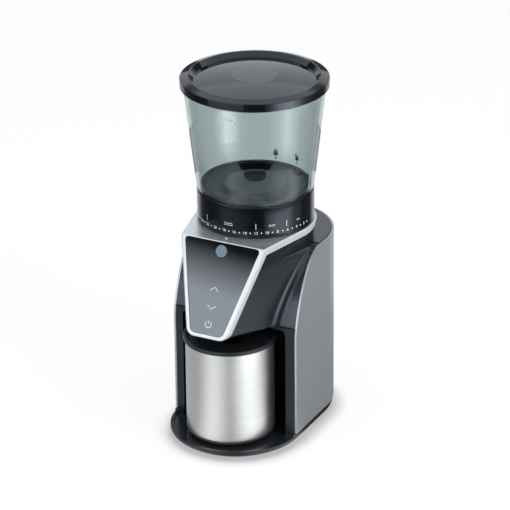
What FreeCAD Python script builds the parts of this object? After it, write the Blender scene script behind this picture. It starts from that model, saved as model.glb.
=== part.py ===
import FreeCAD, Part
import math
import os
from FreeCAD import Vector

# Burr coffee grinder, in millimetres. +Z is up, the front faces -Y,
# and the origin is under the middle of the footprint.

# Fits
SLIP = 0.3
RUNNING = 0.04
SEAT = 0.02

# Cutters run past what they cut, and the widest pass the whole body
OVER = 5.0
REACH = 120.0

# Footprint and body
BODY_HALF_WIDTH = 61.5
BODY_BACK_Y = 91.0
BACK_CENTRE_Y = BODY_BACK_Y - BODY_HALF_WIDTH
SHELL_WALL = 1.8
FRAME_HALF_WIDTH = BODY_HALF_WIDTH - SHELL_WALL - SLIP
PLASTIC_WALL = 2.5

# Base
BASE_INSET = 1.0
BASE_HALF_WIDTH = BODY_HALF_WIDTH - BASE_INSET
BASE_FRONT_Y = -91.0
BASE_FRONT_CENTRE_Y = BASE_FRONT_Y + BASE_HALF_WIDTH
FOOT_HEIGHT = 2.5
FOOT_RADIUS = 7.5
FOOT_DRAFT = 0.8
FOOT_INSET_FRONT = 18.5
FOOT_INSET_BACK = 24.5
FOOT_FRONT_Y = -51.0
FOOT_BACK_Y = 60.0
FOOT_PLACES = [(side * (BASE_HALF_WIDTH - inset), y) for inset, y in
               ((FOOT_INSET_FRONT, FOOT_FRONT_Y), (FOOT_INSET_BACK, FOOT_BACK_Y)) for side in (-1, 1)]
BASE_TOP_Z = 10.9
TRAY_RIM_Z = 8.6
TRAY_FLOOR_Z = 7.4
TRAY_RIM_WIDTH = 3.0
BASE_SKIN = 2.2
BASE_PLATE_THICK = 2.0
BASE_EDGE_ROUND = 4.5
BASE_WALL = 5.5
BASE_SCREW_HOLE = 1.8
BASE_SCREW_HEAD_RADIUS = 3.0
BASE_SCREW_HEAD_HEIGHT = 1.2
BASE_SCREW_FRONT = (30.0, -66.0)
BASE_SCREW_SIDE_INSET = 10.5
BASE_SCREW_SIDE_Y = 20.0
BASE_SCREW_BACK_INSET = 13.0
BASE_SCREW_BACK_Y = BODY_BACK_Y - BASE_SCREW_BACK_INSET
BASE_SCREW_SIDE = (BASE_HALF_WIDTH - BASE_SCREW_SIDE_INSET, BASE_SCREW_SIDE_Y)
BASE_SCREW_PLACES = [(side * x, y) for x, y in (BASE_SCREW_FRONT, BASE_SCREW_SIDE) for side in (-1, 1)]
BASE_SCREW_PLACES += [(0.0, BASE_SCREW_BACK_Y)]

# Cup bay
POST_WIDTH = 7.9
BAY_HALF_WIDTH = FRAME_HALF_WIDTH - POST_WIDTH
POST_FRONT_INNER_Y = -35.2
POST_FRONT_OUTER_Y = -33.4
POST_DEPTH = 5.0
BAY_BACK_Y = 5.0
BAY_WALL = 2.7
BAY_CEILING_Z = 112.0
FRAME_TOP_Z = 114.5
BAY_TOP_ROUND = 6.0
BAY_ROUND_RISE = 0.6
BAY_CORNER_ROUND = 8.0
PLINTH_STEP = 2.0
PLINTH_FRONT_Y = POST_FRONT_INNER_Y - PLINTH_STEP

# Shoulder: the side view of the shell's front edge, a cubic curve
SHOULDER_START = (-33.2, 104.0)
SHOULDER_LOW_PULL = (-33.2, 125.0)
SHOULDER_HIGH_PULL = (-11.0, 177.4)
SHOULDER_END = (14.0, 177.4)
SHOULDER_POLES = [SHOULDER_START, SHOULDER_LOW_PULL, SHOULDER_HIGH_PULL, SHOULDER_END]
VALLEY_ROUND_LOW = 11.0
VALLEY_ROUND_HIGH = 6.0
FLARE_SPREAD = math.radians(9.0)
FLARE_SPREAD_POWER = 4
FLARE_LEDGE = 1.0
FLARE_SECTIONS = 9
FLARE_OVERLAP = 3.0
FLARE_BACK_Y = SHOULDER_END[0] + FLARE_OVERLAP
NECK_OVERLAP = 2.0
NECK_BOTTOM_Z = SHOULDER_END[1] - NECK_OVERLAP

# Hopper axis and head
AXIS_Y = 10.5
HEAD_TOP_Z = 196.5
HEAD_TAPER = math.radians(12.9)
HEAD_INSET = 18.2
HEAD_FRONT_HALF_TOP = FRAME_HALF_WIDTH - HEAD_INSET
TRIM_THICK = 6.5
KEEL_Z = FRAME_TOP_Z
KEEL_RISE = 0.05
KEEL_ROUND = 8.0
KEEL_ROUND_START_Y = -93.0
KEEL_ROUND_END_Y = -46.0
KEEL_ROUND_LEAST = 0.4
TRIM_EDGE_ROUND = 1.4
TRIM_HOLE_RADIUS = 37.0

# Touch panel, on the leaning front
PANEL_TOP_Y = -53.4
PANEL_TOP_Z = 195.5
PANEL_BORDER = 3.8
PANEL_NARROWING = 21.5
PANEL_HALF_TOP = HEAD_FRONT_HALF_TOP - PANEL_BORDER
PANEL_HALF_BOTTOM = PANEL_HALF_TOP - PANEL_NARROWING
PANEL_DROP_Y = 33.75
PANEL_DROP_Z = 75.35
PANEL_LENGTH = math.hypot(PANEL_DROP_Y, PANEL_DROP_Z)
PANEL_THICK = 2.5
PANEL_RECESS = 0.9
PANEL_LEDGE = 3.0
PANEL_TOP_ROUND = 3.0
PANEL_BOTTOM_ROUND = 6.0
PANEL_GAP = 0.15
BOARD_THICK = 1.6

# Deck behind the dial
DECK_TOP_Z = 178.2
DECK_THICK = 3.0

# Dial ring
DIAL_RADIUS = 52.3
DIAL_BOTTOM_Z = 197.0
DIAL_TOP_Z = 226.6
DIAL_WALL = 3.0
DIAL_EDGE_ROUND = 1.3
DIAL_WEB_Z = 210.0
DIAL_WEB_THICK = 3.0
DIAL_COLLAR_INNER = 31.0
DIAL_COLLAR_WALL = 3.0
DIAL_COLLAR_GAP = 1.5
DIAL_COLLAR_Z = DIAL_BOTTOM_Z + DIAL_COLLAR_GAP
BAYONET_LUGS = 3
BAYONET_LUG_ANGLE = 24.0
BAYONET_LUG_THICK = 2.5
BAYONET_LUG_PROUD = 1.2
BAYONET_ROOT = 0.5
BAYONET_KEEPER_ANGLE = 26.0
BAYONET_KEEPER_DROP = 2.0
BAYONET_KEEPER_THICK = 2.0
BAYONET_KEEPER_TOP_Z = DIAL_TOP_Z - BAYONET_KEEPER_DROP
BAYONET_KEEPER_Z = (BAYONET_KEEPER_TOP_Z - BAYONET_KEEPER_THICK, BAYONET_KEEPER_TOP_Z)

# Hopper and lid
HOPPER_GAP = 0.6
HOPPER_BOTTOM_Z = DIAL_TOP_Z + HOPPER_GAP
HOPPER_BOTTOM_RADIUS = 52.2
HOPPER_TOP_Z = 324.0
HOPPER_TOP_RADIUS = 63.4
HOPPER_WALL = 2.4
HOPPER_STEP = 2.0
SPIGOT_RADIUS = 47.6
SPIGOT_WALL = 2.2
SPIGOT_BOTTOM_Z = 217.5
FLOOR_EDGE_Z = 229.2
FLOOR_LIP_RADIUS = 27.5
FLOOR_LIP_Z = 224.6
FLOOR_THROAT_RADIUS = 17.0
FLOOR_THROAT_Z = 215.0
FLOOR_SKIN = 2.0
FLOOR_RIM = 0.8
FLOOR_LIP_RISE = 0.5
FLOOR_LIP_WIDTH = 1.0
FLOOR_LIP_FALL = (1.5, 0.8)
FLOOR_THROAT_LENGTH = 3.0
LID_OVERHANG = 2.6
LID_RADIUS = HOPPER_TOP_RADIUS + LID_OVERHANG
LID_RIM_DROP = 2.0
LID_RIM_Z = HOPPER_TOP_Z - LID_RIM_DROP
LID_EDGE_RISE = 4.8
LID_EDGE_Z = HOPPER_TOP_Z + LID_EDGE_RISE
LID_EDGE_ROUND = 0.8
LID_CREST_INSET = 7.8
LID_CREST_RADIUS = LID_RADIUS - LID_CREST_INSET
LID_CREST_RISE = 7.2
LID_CREST_Z = HOPPER_TOP_Z + LID_CREST_RISE
LID_CREST_ROUND = 1.0
LID_GROOVE_INSET = 12.0
LID_GROOVE_RADIUS = LID_RADIUS - LID_GROOVE_INSET
LID_GROOVE_RISE = 2.6
LID_GROOVE_Z = HOPPER_TOP_Z + LID_GROOVE_RISE
LID_DOME_RISE = 7.5
LID_TOP_Z = HOPPER_TOP_Z + LID_DOME_RISE
LID_SKIN = 2.1
LID_SKIRT_GAP = 3.0
LID_SKIRT_RADIUS = HOPPER_TOP_RADIUS - HOPPER_WALL - LID_SKIRT_GAP
LID_SKIRT_WALL = 2.2
LID_SKIRT_DEPTH = 5.5
LID_SKIRT_Z = HOPPER_TOP_Z - LID_SKIRT_DEPTH
SEAL_HEIGHT = 3.0
SEAL_WIDTH = 2.0
SEAL_RISE = 1.5

# Burrs, shaft and grind chamber
SHAFT_RADIUS = 4.0
SHAFT_TOP_Z = 196.0
CONE_BURR_Z = (168.0, 189.0)
CONE_BURR_RADII = (19.2, 12.6)
RING_BURR_Z = (171.0, 187.0)
RING_BURR_RADIUS = 24.0
BURR_GAP = 0.7
BURR_TOOTH = 1.4
CONE_BURR_TEETH = 14
RING_BURR_TEETH = 28
BURR_TWIST = 24.0
BURR_TOOTH_LEAN = 0.75
CARRIER_BOTTOM_Z = 168.0
CARRIER_TOP_Z = 208.0
CARRIER_THREAD_Z = 199.0
CARRIER_THROAT = 20.5
CHAMBER_BORE = 30.0
CHAMBER_WALL = 3.0
CHAMBER_TOP_Z = 195.5
CHAMBER_FLANGE_RADIUS = 46.0
CHAMBER_FLANGE_THICK = 3.0
CHAMBER_FLANGE_Z = HEAD_TOP_Z - TRIM_THICK - PLASTIC_WALL - CHAMBER_FLANGE_THICK
SWEEPER_Z = (153.0, 161.0)
SWEEPER_RADIUS = 28.5
SWEEPER_DISC = 1.5
SWEEPER_HUB = 8.0
SWEEPER_PADDLES = 4
SWEEPER_PADDLE_THICK = 2.4
SWEEPER_STEP = 1.0
FEED_CONE_TOP_Z = 210.0
FEED_CONE_RADIUS = 10.0
FEED_CONE_COLLAR = 3.0
FEED_CONE_TIP = ((3.0, 1.5), (1.5, 0.0))

# Outlet chute
CHUTE_HALF_WIDTH = 11.0
CHUTE_WALL = 1.8
CHUTE_INLET_Z = (154.0, 168.0)
CHUTE_OUTLET_Y = (-52.0, -34.5)
CHUTE_OUTLET_Z = 118.5
CHUTE_OUTLET_RISE = 8.0
CHUTE_END_GAP = 2.0
CHUTE_END_Z = KEEL_Z + CHUTE_END_GAP

# Gear train
MOTOR_Y = 38.5
STAGE_ONE_MODULE = 0.8
PINION_TEETH = 13
IDLER_GEAR_TEETH = 52
STAGE_TWO_MODULE = 1.0
IDLER_PINION_TEETH = 14
MAIN_GEAR_TEETH = 48
STAGE_ONE_Z = (121.5, 129.5)
STAGE_TWO_Z = (132.0, 140.5)
GEAR_CLEARANCE = 0.25
BACKLASH = 0.25
PRESSURE_ANGLE = math.radians(20.0)
IDLER_NECK_RADIUS = 5.0
MAIN_GEAR_POCKET = (9.0, 20.0)
MAIN_GEAR_POCKET_DEPTH = 2.5
LOWER_PLATE_THICK = 4.0
LOWER_PLATE_Z = (FRAME_TOP_Z, FRAME_TOP_Z + LOWER_PLATE_THICK)
UPPER_PLATE_Z = (143.0, 148.8)
CHAMBER_FLOOR_Z = UPPER_PLATE_Z[1]
PLATE_X = (-43.0, 48.0)
PLATE_Y = (-13.0, 62.0)
PLATE_ROUND = 8.0
SPACER_RADIUS = 4.0
SPACER_BORE = 1.7
SCREW_CLEARANCE = 0.15
GEAR_SCREW_HEAD_RADIUS = 3.0
GEAR_SCREW_HEAD_HEIGHT = 2.2
BEARING_RADIUS = 9.0
BEARING_LIP = 1.0
SHAFT_HOLE_GAP = 1.0
MOTOR_HOLE_GAP = 2.5
IDLER_PIN_RADIUS = 2.5
IDLER_PIN_DEPTH = 3.0

# Motor
MOTOR_RADIUS = 27.0
MOTOR_WALL = 2.0
MOTOR_Z = (36.0, 112.0)
MOTOR_BOSS_RADIUS = 11.0
MOTOR_SHAFT_RADIUS = 2.5
ARMATURE_RADIUS = 17.5
ARMATURE_Z = (58.0, 98.0)
ARMATURE_SLOTS = 12
MAGNET_INNER = 18.5
COMMUTATOR_RADIUS = 9.0
COMMUTATOR_Z = (42.0, 54.0)
ARMATURE_SLOT_DEPTH = 6.0
ARMATURE_SLOT_WIDTH = 2.6
MAGNET_GAP = 10.0
BRUSH_WIDTH = 6.0
BRUSH_HEIGHT = 8.0
END_CAP_THICK = 2.5
END_CAP_BOSS_RADIUS = 8.0
END_CAP_BOSS_DEPTH = 5.0
END_CAP_SPIGOT = 2.0
MOTOR_SHAFT_PROUD = 0.5

# Cup and cup lid
CUP_Y = -42.9
CUP_RADIUS = 39.7
CUP_WALL = 1.0
CUP_BOTTOM_Z = 9.0
CUP_TOP_Z = 99.4
CUP_CORNER_ROUND = 5.0
CUP_PAD_RADIUS = 33.0
CUP_LID_RADIUS = 41.6
CUP_LID_TOP_Z = 103.2
CUP_LID_PLUG_DEPTH = 5.0
CUP_LID_DISH_DEPTH = 1.6
CUP_LID_HOLE = 19.0
CUP_LID_SKIN = 1.0
CUP_LID_PLUG_WALL = 2.0
CUP_LID_BRIM = 3.0
CUP_LID_DISH_EDGE = 5.0
CUP_LID_DISH_FALL = 0.4
CUP_LID_EDGE_ROUND = 1.0

# Electrics
POWER_BOARD_INSET = 17.0
POWER_BOARD_Y = BODY_BACK_Y - POWER_BOARD_INSET
POWER_BOARD_HALF_WIDTH = 26.0
POWER_BOARD_Z = (BASE_TOP_Z, 78.0)
BOARD_POST_TOP_Z = 60.0
BOARD_POST_SIZE = 5.0
CAPACITOR_RADIUS = 5.0
CAPACITOR_LENGTH = 6.5
CAPACITOR_PLACE = (16.0, 40.0)
RELAY_X = (-22.0, -10.0)
RELAY_DEPTH = 9.0
RELAY_Z = (52.0, 72.0)
GLAND_X = 24.0
GLAND_Z = 24.0
GLAND_RADIUS = 6.0
GLAND_BORE = 3.6
GLAND_FLANGE = 2.0
GLAND_FLANGE_WIDTH = 2.0
GLAND_INSIDE = 6.5
GLAND_LENGTH = 9.0

# Detent spring under the dial and the switch that senses the hopper
SPRING_X = (39.5, 46.5)
SPRING_FINGER_WIDTH = 1.5
SPRING_THICK = 0.6
SPRING_LEAF_BACK = 8.0
SPRING_LEAF_LENGTH = 6.0
SPRING_FINGER_AHEAD = 12.0
SPRING_LEAF_Y = (AXIS_Y + SPRING_LEAF_BACK, AXIS_Y + SPRING_LEAF_BACK + SPRING_LEAF_LENGTH)
SPRING_FINGER_END_Y = AXIS_Y - SPRING_FINGER_AHEAD
SPRING_BUMP_LENGTH = 3.0
SPRING_BUMP_GAP = 2.0
SPRING_BUMP_TOP_Z = DIAL_WEB_Z - SPRING_BUMP_GAP
SWITCH_HALF_WIDTH = 8.0
SWITCH_AHEAD = 47.5
SWITCH_DEPTH = 5.5
SWITCH_Y = (AXIS_Y - SWITCH_AHEAD - SWITCH_DEPTH, AXIS_Y - SWITCH_AHEAD)
SWITCH_HEIGHT = 10.0
SWITCH_GAP = 0.5

os.makedirs("parts", exist_ok=True)


def box(x, y, z):
    """Block from three (low, high) pairs."""
    return Part.makeBox(x[1] - x[0], y[1] - y[0], z[1] - z[0], Vector(x[0], y[0], z[0]))


def rod(radius, z, x=0.0, y=0.0):
    """Upright cylinder between two heights."""
    return Part.makeCylinder(radius, z[1] - z[0], Vector(x, y, z[0]))


def tube(outer, inner, z, x=0.0, y=0.0):
    return rod(outer, z, x, y).cut(rod(inner, z, x, y))


def turned(points, y=AXIS_Y, x=0.0):
    """Solid turned about an upright axis from (radius, height) points."""
    corners = [Vector(x + radius, y, z) for radius, z in points]
    face = Part.Face(Part.makePolygon(corners + corners[:1]))
    return face.revolve(Vector(x, y, 0), Vector(0, 0, 1), 360)


def turned_block(inner, outer, z):
    """Ring of square section about the hopper axis."""
    return turned([(inner, z[0]), (outer, z[0]), (outer, z[1]), (inner, z[1])])


def prism(points, z):
    """Upright prism over an outline of (x, y) points."""
    corners = [Vector(x, y, z[0]) for x, y in points]
    face = Part.Face(Part.makePolygon(corners + corners[:1]))
    return face.extrude(Vector(0, 0, z[1] - z[0]))


def rounded(solid, radius, chosen):
    """Round the edges for which chosen(edge) holds."""
    return solid.makeFillet(radius, [edge for edge in solid.Edges if chosen(edge)])


def turned_about(solid, degrees, y=AXIS_Y, x=0.0):
    copy = solid.copy()
    copy.rotate(Vector(x, y, 0), Vector(0, 0, 1), degrees)
    return copy


def join(solids):
    """One solid from several that touch or overlap."""
    return solids[0].multiFuse(solids[1:]).removeSplitter()


def is_upright(edge):
    low, high = edge.BoundBox.ZMin, edge.BoundBox.ZMax
    return edge.BoundBox.DiagonalLength < (high - low) * 1.001


def at_height(edge, z):
    return abs(edge.BoundBox.ZMin - z) < 0.01 and abs(edge.BoundBox.ZMax - z) < 0.01


def is_ring(edge, radius, z):
    """Whether an edge is the level circle of a radius at a height."""
    return at_height(edge, z) and abs(edge.BoundBox.XMax - radius) < 0.1


def body_prism(half_width, front_y, z):
    """Plan of the body: straight sides, half-round back, square front."""
    sides = box((-half_width, half_width), (front_y, BACK_CENTRE_Y), z)
    return sides.fuse(rod(half_width, z, 0, BACK_CENTRE_Y)).removeSplitter()


def base_prism(inset, z):
    """Plan of the base: a long round-ended outline, set in by inset."""
    radius = BASE_HALF_WIDTH - inset
    ends = [rod(radius, z, 0, BASE_FRONT_CENTRE_Y), rod(radius, z, 0, BACK_CENTRE_Y)]
    sides = box((-radius, radius), (BASE_FRONT_CENTRE_Y, BACK_CENTRE_Y), z)
    return join([sides] + ends)


def behind_shoulder():
    """Everything behind and below the shoulder curve."""
    bottom_z, back_y = BASE_TOP_Z, BODY_BACK_Y + OVER
    side = -REACH
    points = [Vector(side, y, z) for y, z in SHOULDER_POLES]
    curve = Part.BezierCurve()
    curve.setPoles(points)
    corners = [points[3], Vector(side, back_y, points[3].z), Vector(side, back_y, bottom_z),
               Vector(side, points[0].y, bottom_z), points[0]]
    outline = [curve.toShape()] + [Part.makeLine(a, b) for a, b in zip(corners, corners[1:])]
    return Part.Face(Part.Wire(outline)).extrude(Vector(-2 * side, 0, 0))


def shoulder_point(share):
    """Point (y, z) on the shoulder curve, share running from 0 to 1."""
    rest = 1.0 - share
    weights = (rest ** 3, 3 * rest ** 2 * share, 3 * rest * share ** 2, share ** 3)
    return tuple(sum(w * pole[axis] for w, pole in zip(weights, SHOULDER_POLES)) for axis in (0, 1))


def shoulder_share(z):
    """Share of the shoulder curve at which it reaches a height."""
    low, high = 0.0, 1.0
    while high - low > 1e-6:
        middle = (low + high) / 2
        low, high = (middle, high) if shoulder_point(middle)[1] < z else (low, middle)
    return low


def front_y_at(z):
    """Front face of the panel frame at a height."""
    lean = PANEL_DROP_Y / PANEL_DROP_Z
    proud = PANEL_RECESS * PANEL_LENGTH / PANEL_DROP_Z
    return PANEL_TOP_Y - proud + (z - PANEL_TOP_Z) * lean


def head_radius(z):
    """Radius of the head's round back at a height, which its sides touch."""
    narrowing = (PANEL_HALF_TOP - PANEL_HALF_BOTTOM) / PANEL_DROP_Z
    half = HEAD_FRONT_HALF_TOP + (z - HEAD_TOP_Z) * narrowing
    return half * math.cos(HEAD_TAPER) + (AXIS_Y - front_y_at(z)) * math.sin(HEAD_TAPER)


def head_side_x(radius, y):
    """Half width of the head's straight sides at a distance back."""
    return (radius + (y - AXIS_Y) * math.sin(HEAD_TAPER)) / math.cos(HEAD_TAPER)


def head_front_y(z, setback):
    return front_y_at(z) + setback * PANEL_LENGTH / PANEL_DROP_Z


def cheek_taper(share):
    """Angle of the cheeks in plan, which spread wider low down than at the shoulder's top."""
    return HEAD_TAPER + FLARE_SPREAD * (1.0 - share ** FLARE_SPREAD_POWER)


def cheek_x(z, y):
    """Half width of the cheeks behind the trim at a height and a distance back."""
    front = head_front_y(z, TRIM_THICK)
    taper = cheek_taper(shoulder_share(z))
    return head_side_x(head_radius(z), front) + (y - front) * math.tan(taper)


def head_plan(z, front_setback, side_inset):
    """Outline of the head at a height: flat front, straight sides, round back."""
    radius = head_radius(z) - side_inset
    front = head_front_y(z, front_setback)
    corner_x = head_side_x(radius, front)
    touch_x, touch_y = radius * math.cos(HEAD_TAPER), AXIS_Y - radius * math.sin(HEAD_TAPER)
    left, right = Vector(-corner_x, front, z), Vector(corner_x, front, z)
    left_touch, right_touch = Vector(-touch_x, touch_y, z), Vector(touch_x, touch_y, z)
    back = Part.Arc(right_touch, Vector(0, AXIS_Y + radius, z), left_touch).toShape()
    return Part.Wire([Part.makeLine(left, right), Part.makeLine(right, right_touch), back,
                      Part.makeLine(left_touch, left)])


def flare_plan(share, front_setback, inset):
    """Outline at one height of the prow and the flares that run out to the shell."""
    shoulder_y, shoulder_z = shoulder_point(share)
    y, z = shoulder_y + inset, shoulder_z - inset
    front = head_front_y(z, front_setback)
    front_x = head_side_x(head_radius(z) - inset, front)
    outer = FRAME_HALF_WIDTH - inset
    taper = cheek_taper(share)
    corner_x = front_x + (y - front) * math.tan(taper)
    spread = math.tan((math.pi / 2 - taper) / 2)
    full_valley = VALLEY_ROUND_LOW + (VALLEY_ROUND_HIGH - VALLEY_ROUND_LOW) * share + inset
    run = min(full_valley * spread, outer - corner_x - FLARE_LEDGE)
    valley = run / spread
    side_end = (corner_x - run * math.sin(taper), y - run * math.cos(taper))
    bow = (math.pi / 2 + taper) / 2 + math.pi / 2 - taper
    middle = (corner_x + run + valley * math.cos(bow), y - valley + valley * math.sin(bow))
    right = [(front_x, front), side_end, middle, (corner_x + run, y), (outer, y),
             (outer, FLARE_BACK_Y + inset)]
    ahead = [Vector(x, y, z) for x, y in right]
    behind = [Vector(-x, y, z) for x, y in right]
    edges = [Part.makeLine(behind[0], ahead[0]), Part.makeLine(ahead[0], ahead[1]),
             Part.Arc(ahead[1], ahead[2], ahead[3]).toShape(), Part.makeLine(ahead[3], ahead[4]),
             Part.makeLine(ahead[4], ahead[5]), Part.makeLine(ahead[5], behind[5]),
             Part.makeLine(behind[5], behind[4]), Part.makeLine(behind[4], behind[3]),
             Part.Arc(behind[3], behind[2], behind[1]).toShape(), Part.makeLine(behind[1], behind[0])]
    return Part.Wire(edges)


def flare_form(bottom_z, front_setback, inset=0.0):
    first = shoulder_share(bottom_z + inset)
    shares = [first + (1.0 - first) * index / (FLARE_SECTIONS - 1) for index in range(FLARE_SECTIONS)]
    return Part.makeLoft([flare_plan(share, front_setback, inset) for share in shares], True, False)


def head_core(z, front_setback=0.0, side_inset=0.0):
    sections = [head_plan(level, front_setback, side_inset) for level in z]
    return Part.makeLoft(sections, True, True)


def under_keel(raise_by=0.0):
    """Space under the head's floor, which rises towards the front."""
    back_y, front_y = FLARE_BACK_Y, BASE_FRONT_Y - OVER
    back_z = KEEL_Z + raise_by - (back_y - POST_FRONT_INNER_Y) * KEEL_RISE
    front_z = KEEL_Z + raise_by + (POST_FRONT_INNER_Y - front_y) * KEEL_RISE
    side, low_z = -REACH, back_z - REACH
    corners = [Vector(side, back_y, back_z), Vector(side, front_y, front_z),
               Vector(side, front_y, low_z), Vector(side, back_y, low_z)]
    return Part.Face(Part.makePolygon(corners + corners[:1])).extrude(Vector(-2 * side, 0, 0))


def on_panel(across, down, out):
    """Point from panel coordinates: across, down the slope, out of the glass."""
    slope_y, slope_z = PANEL_DROP_Y / PANEL_LENGTH, PANEL_DROP_Z / PANEL_LENGTH
    y = PANEL_TOP_Y - down * slope_y - out * slope_z
    z = PANEL_TOP_Z - down * slope_z + out * slope_y
    return Vector(across, y, z)


def panel_prism(inset, low, high):
    """Trapezoid of the panel set in by inset, between two depths, corners round."""
    flank = math.hypot(PANEL_HALF_TOP - PANEL_HALF_BOTTOM, PANEL_LENGTH) / PANEL_LENGTH
    narrowing = (PANEL_HALF_TOP - PANEL_HALF_BOTTOM) / PANEL_LENGTH
    top = PANEL_HALF_TOP - inset * (flank + narrowing)
    bottom = PANEL_HALF_BOTTOM - inset * (flank - narrowing)
    ends = [(-top, inset), (top, inset), (bottom, PANEL_LENGTH - inset), (-bottom, PANEL_LENGTH - inset)]
    corners = [on_panel(across, down, low) for across, down in ends]
    face = Part.Face(Part.makePolygon(corners + corners[:1]))
    solid = face.extrude(on_panel(0, 0, high) - on_panel(0, 0, low))
    split_z = PANEL_TOP_Z - PANEL_DROP_Z / 2

    def is_corner(edge):
        return edge.BoundBox.XLength < 0.01 and abs(edge.Length - (high - low)) < 0.01

    solid = rounded(solid, PANEL_TOP_ROUND, lambda e: is_corner(e) and e.CenterOfMass.z > split_z)
    return rounded(solid, PANEL_BOTTOM_ROUND, lambda e: is_corner(e) and e.CenterOfMass.z < split_z)


def trim_region():
    """Space taken by the trim: the top plate and the leaning frame."""
    plate = box((-REACH, REACH), (-REACH, REACH), (HEAD_TOP_Z - TRIM_THICK, HEAD_TOP_Z + OVER))
    depth = PANEL_RECESS - TRIM_THICK
    top, bottom = -4 * OVER, PANEL_LENGTH + 4 * OVER
    corners = [on_panel(-REACH, top, depth), on_panel(REACH, top, depth),
               on_panel(REACH, bottom, depth), on_panel(-REACH, bottom, depth)]
    face = Part.Face(Part.makePolygon(corners + corners[:1]))
    return plate.fuse(face.extrude(on_panel(0, 0, TRIM_THICK + OVER) - on_panel(0, 0, 0)))


def trim_bezel():
    """Silver top plate and panel frame in one casting."""
    trim = head_core((KEEL_Z - OVER, HEAD_TOP_Z)).cut(under_keel()).common(trim_region())

    def is_keel(edge):
        middle = edge.CenterOfMass
        runs_back = edge.BoundBox.YLength > 0.8 * edge.Length
        return runs_back and abs(middle.x) > OVER and middle.z < KEEL_Z + KEEL_ROUND

    def is_front(edge):
        return all(abs(v.Point.y - front_y_at(v.Point.z)) < 0.05 for v in edge.Vertexes)

    trim = rounded(trim, KEEL_ROUND, is_keel)
    trim = rounded(trim, TRIM_EDGE_ROUND, lambda e: is_front(e) or at_height(e, HEAD_TOP_Z))
    window = panel_prism(0.0, -PANEL_THICK, OVER).fuse(panel_prism(PANEL_LEDGE, -2 * TRIM_THICK, OVER))
    hole = rod(TRIM_HOLE_RADIUS, (HEAD_TOP_Z - TRIM_THICK - OVER, HEAD_TOP_Z + OVER), 0, AXIS_Y)
    return trim.cut(window).cut(hole)


def touch_panel():
    return panel_prism(PANEL_GAP, -PANEL_THICK, 0.0)


def touch_board():
    return panel_prism(PANEL_LEDGE + SLIP, -PANEL_THICK - BOARD_THICK, -PANEL_THICK)


def keel_corner(side):
    """Sliver that rounds a lower corner of the prow, fading out towards the back."""
    wires = []
    for y, radius in ((KEEL_ROUND_START_Y, KEEL_ROUND), (KEEL_ROUND_END_Y, KEEL_ROUND_LEAST)):
        z = KEEL_Z + (POST_FRONT_INNER_Y - y) * KEEL_RISE
        x = cheek_x(z, y)
        lean = math.atan2(cheek_x(z + OVER, y) - x, OVER)
        run = radius / math.tan(math.pi / 4 + lean / 2)
        up = (x + run * math.sin(lean), z + run * math.cos(lean))
        centre = (x - run, z + radius)
        bow = (lean + math.pi / 2) / 2 + math.pi
        middle = (centre[0] - radius * math.cos(bow), centre[1] + radius * math.sin(bow))
        spots = [Vector(side * px, y, pz) for px, pz in (up, middle, (x - run, z), (x + OVER, z - OVER))]
        wires.append(Part.Wire([Part.Arc(spots[0], spots[1], spots[2]).toShape(),
                                Part.makeLine(spots[2], spots[3]), Part.makeLine(spots[3], spots[0])]))
    return Part.makeLoft(wires, True, True)


def head_housing():
    """Black head: the prow under the trim, and the flares that meet the shell."""
    wall = PLASTIC_WALL
    ceiling = HEAD_TOP_Z - TRIM_THICK
    neck = head_core((NECK_BOTTOM_Z, ceiling), TRIM_THICK)
    outside = flare_form(FRAME_TOP_Z, TRIM_THICK).fuse(neck).cut(under_keel())
    for side in (-1, 1):
        outside = outside.cut(keel_corner(side))
    ahead_of_bay = box((-REACH, REACH), (BASE_FRONT_Y - OVER, POST_FRONT_INNER_Y), (0.0, ceiling))
    floor = under_keel(wall).common(ahead_of_bay)
    cavity = flare_form(FRAME_TOP_Z - OVER, TRIM_THICK + wall, wall).cut(floor)
    inner_neck = head_core((NECK_BOTTOM_Z - wall - SLIP, ceiling - wall), TRIM_THICK + wall, wall)
    chute_hole = box((-CHUTE_HALF_WIDTH, CHUTE_HALF_WIDTH), CHUTE_OUTLET_Y, (KEEL_Z - OVER, KEEL_Z + OVER))
    top_hole = rod(TRIM_HOLE_RADIUS, (ceiling - OVER, ceiling + OVER), 0, AXIS_Y)
    return outside.cut(cavity).cut(inner_neck).cut(chute_hole).cut(top_hole)


def bay_plan():
    """Outline of the bay's walls and roof, with the posts' slanted front."""
    back_y = BAY_BACK_Y + BAY_WALL
    return [(-FRAME_HALF_WIDTH, POST_FRONT_OUTER_Y), (-BAY_HALF_WIDTH, POST_FRONT_INNER_Y),
            (BAY_HALF_WIDTH, POST_FRONT_INNER_Y), (FRAME_HALF_WIDTH, POST_FRONT_OUTER_Y),
            (FRAME_HALF_WIDTH, back_y), (-FRAME_HALF_WIDTH, back_y)]


def bay_frame():
    """Two posts and the walls of the bay in one moulding, rounded out under the roof."""
    block = prism(bay_plan(), (BASE_TOP_Z, BAY_CEILING_Z))
    depth = (POST_FRONT_INNER_Y - OVER, BAY_BACK_Y)
    round_z = BAY_CEILING_Z + BAY_ROUND_RISE
    bay = box((-BAY_HALF_WIDTH, BAY_HALF_WIDTH), depth, (0.0, round_z))
    bay = rounded(bay, BAY_TOP_ROUND, lambda e: at_height(e, round_z) and e.BoundBox.YLength > OVER)
    bay = rounded(bay, BAY_CORNER_ROUND, lambda e: is_upright(e) and e.CenterOfMass.y > 0.0)
    frame = block.cut(bay)
    for side in (-1, 1):
        inner, outer = side * (BAY_HALF_WIDTH + BAY_WALL), side * (FRAME_HALF_WIDTH + OVER)
        pocket = (POST_FRONT_INNER_Y + POST_DEPTH, BAY_BACK_Y + BAY_WALL + OVER)
        frame = frame.cut(box(sorted((inner, outer)), pocket, (0.0, BAY_CEILING_Z - BAY_TOP_ROUND)))
    return frame


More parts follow.
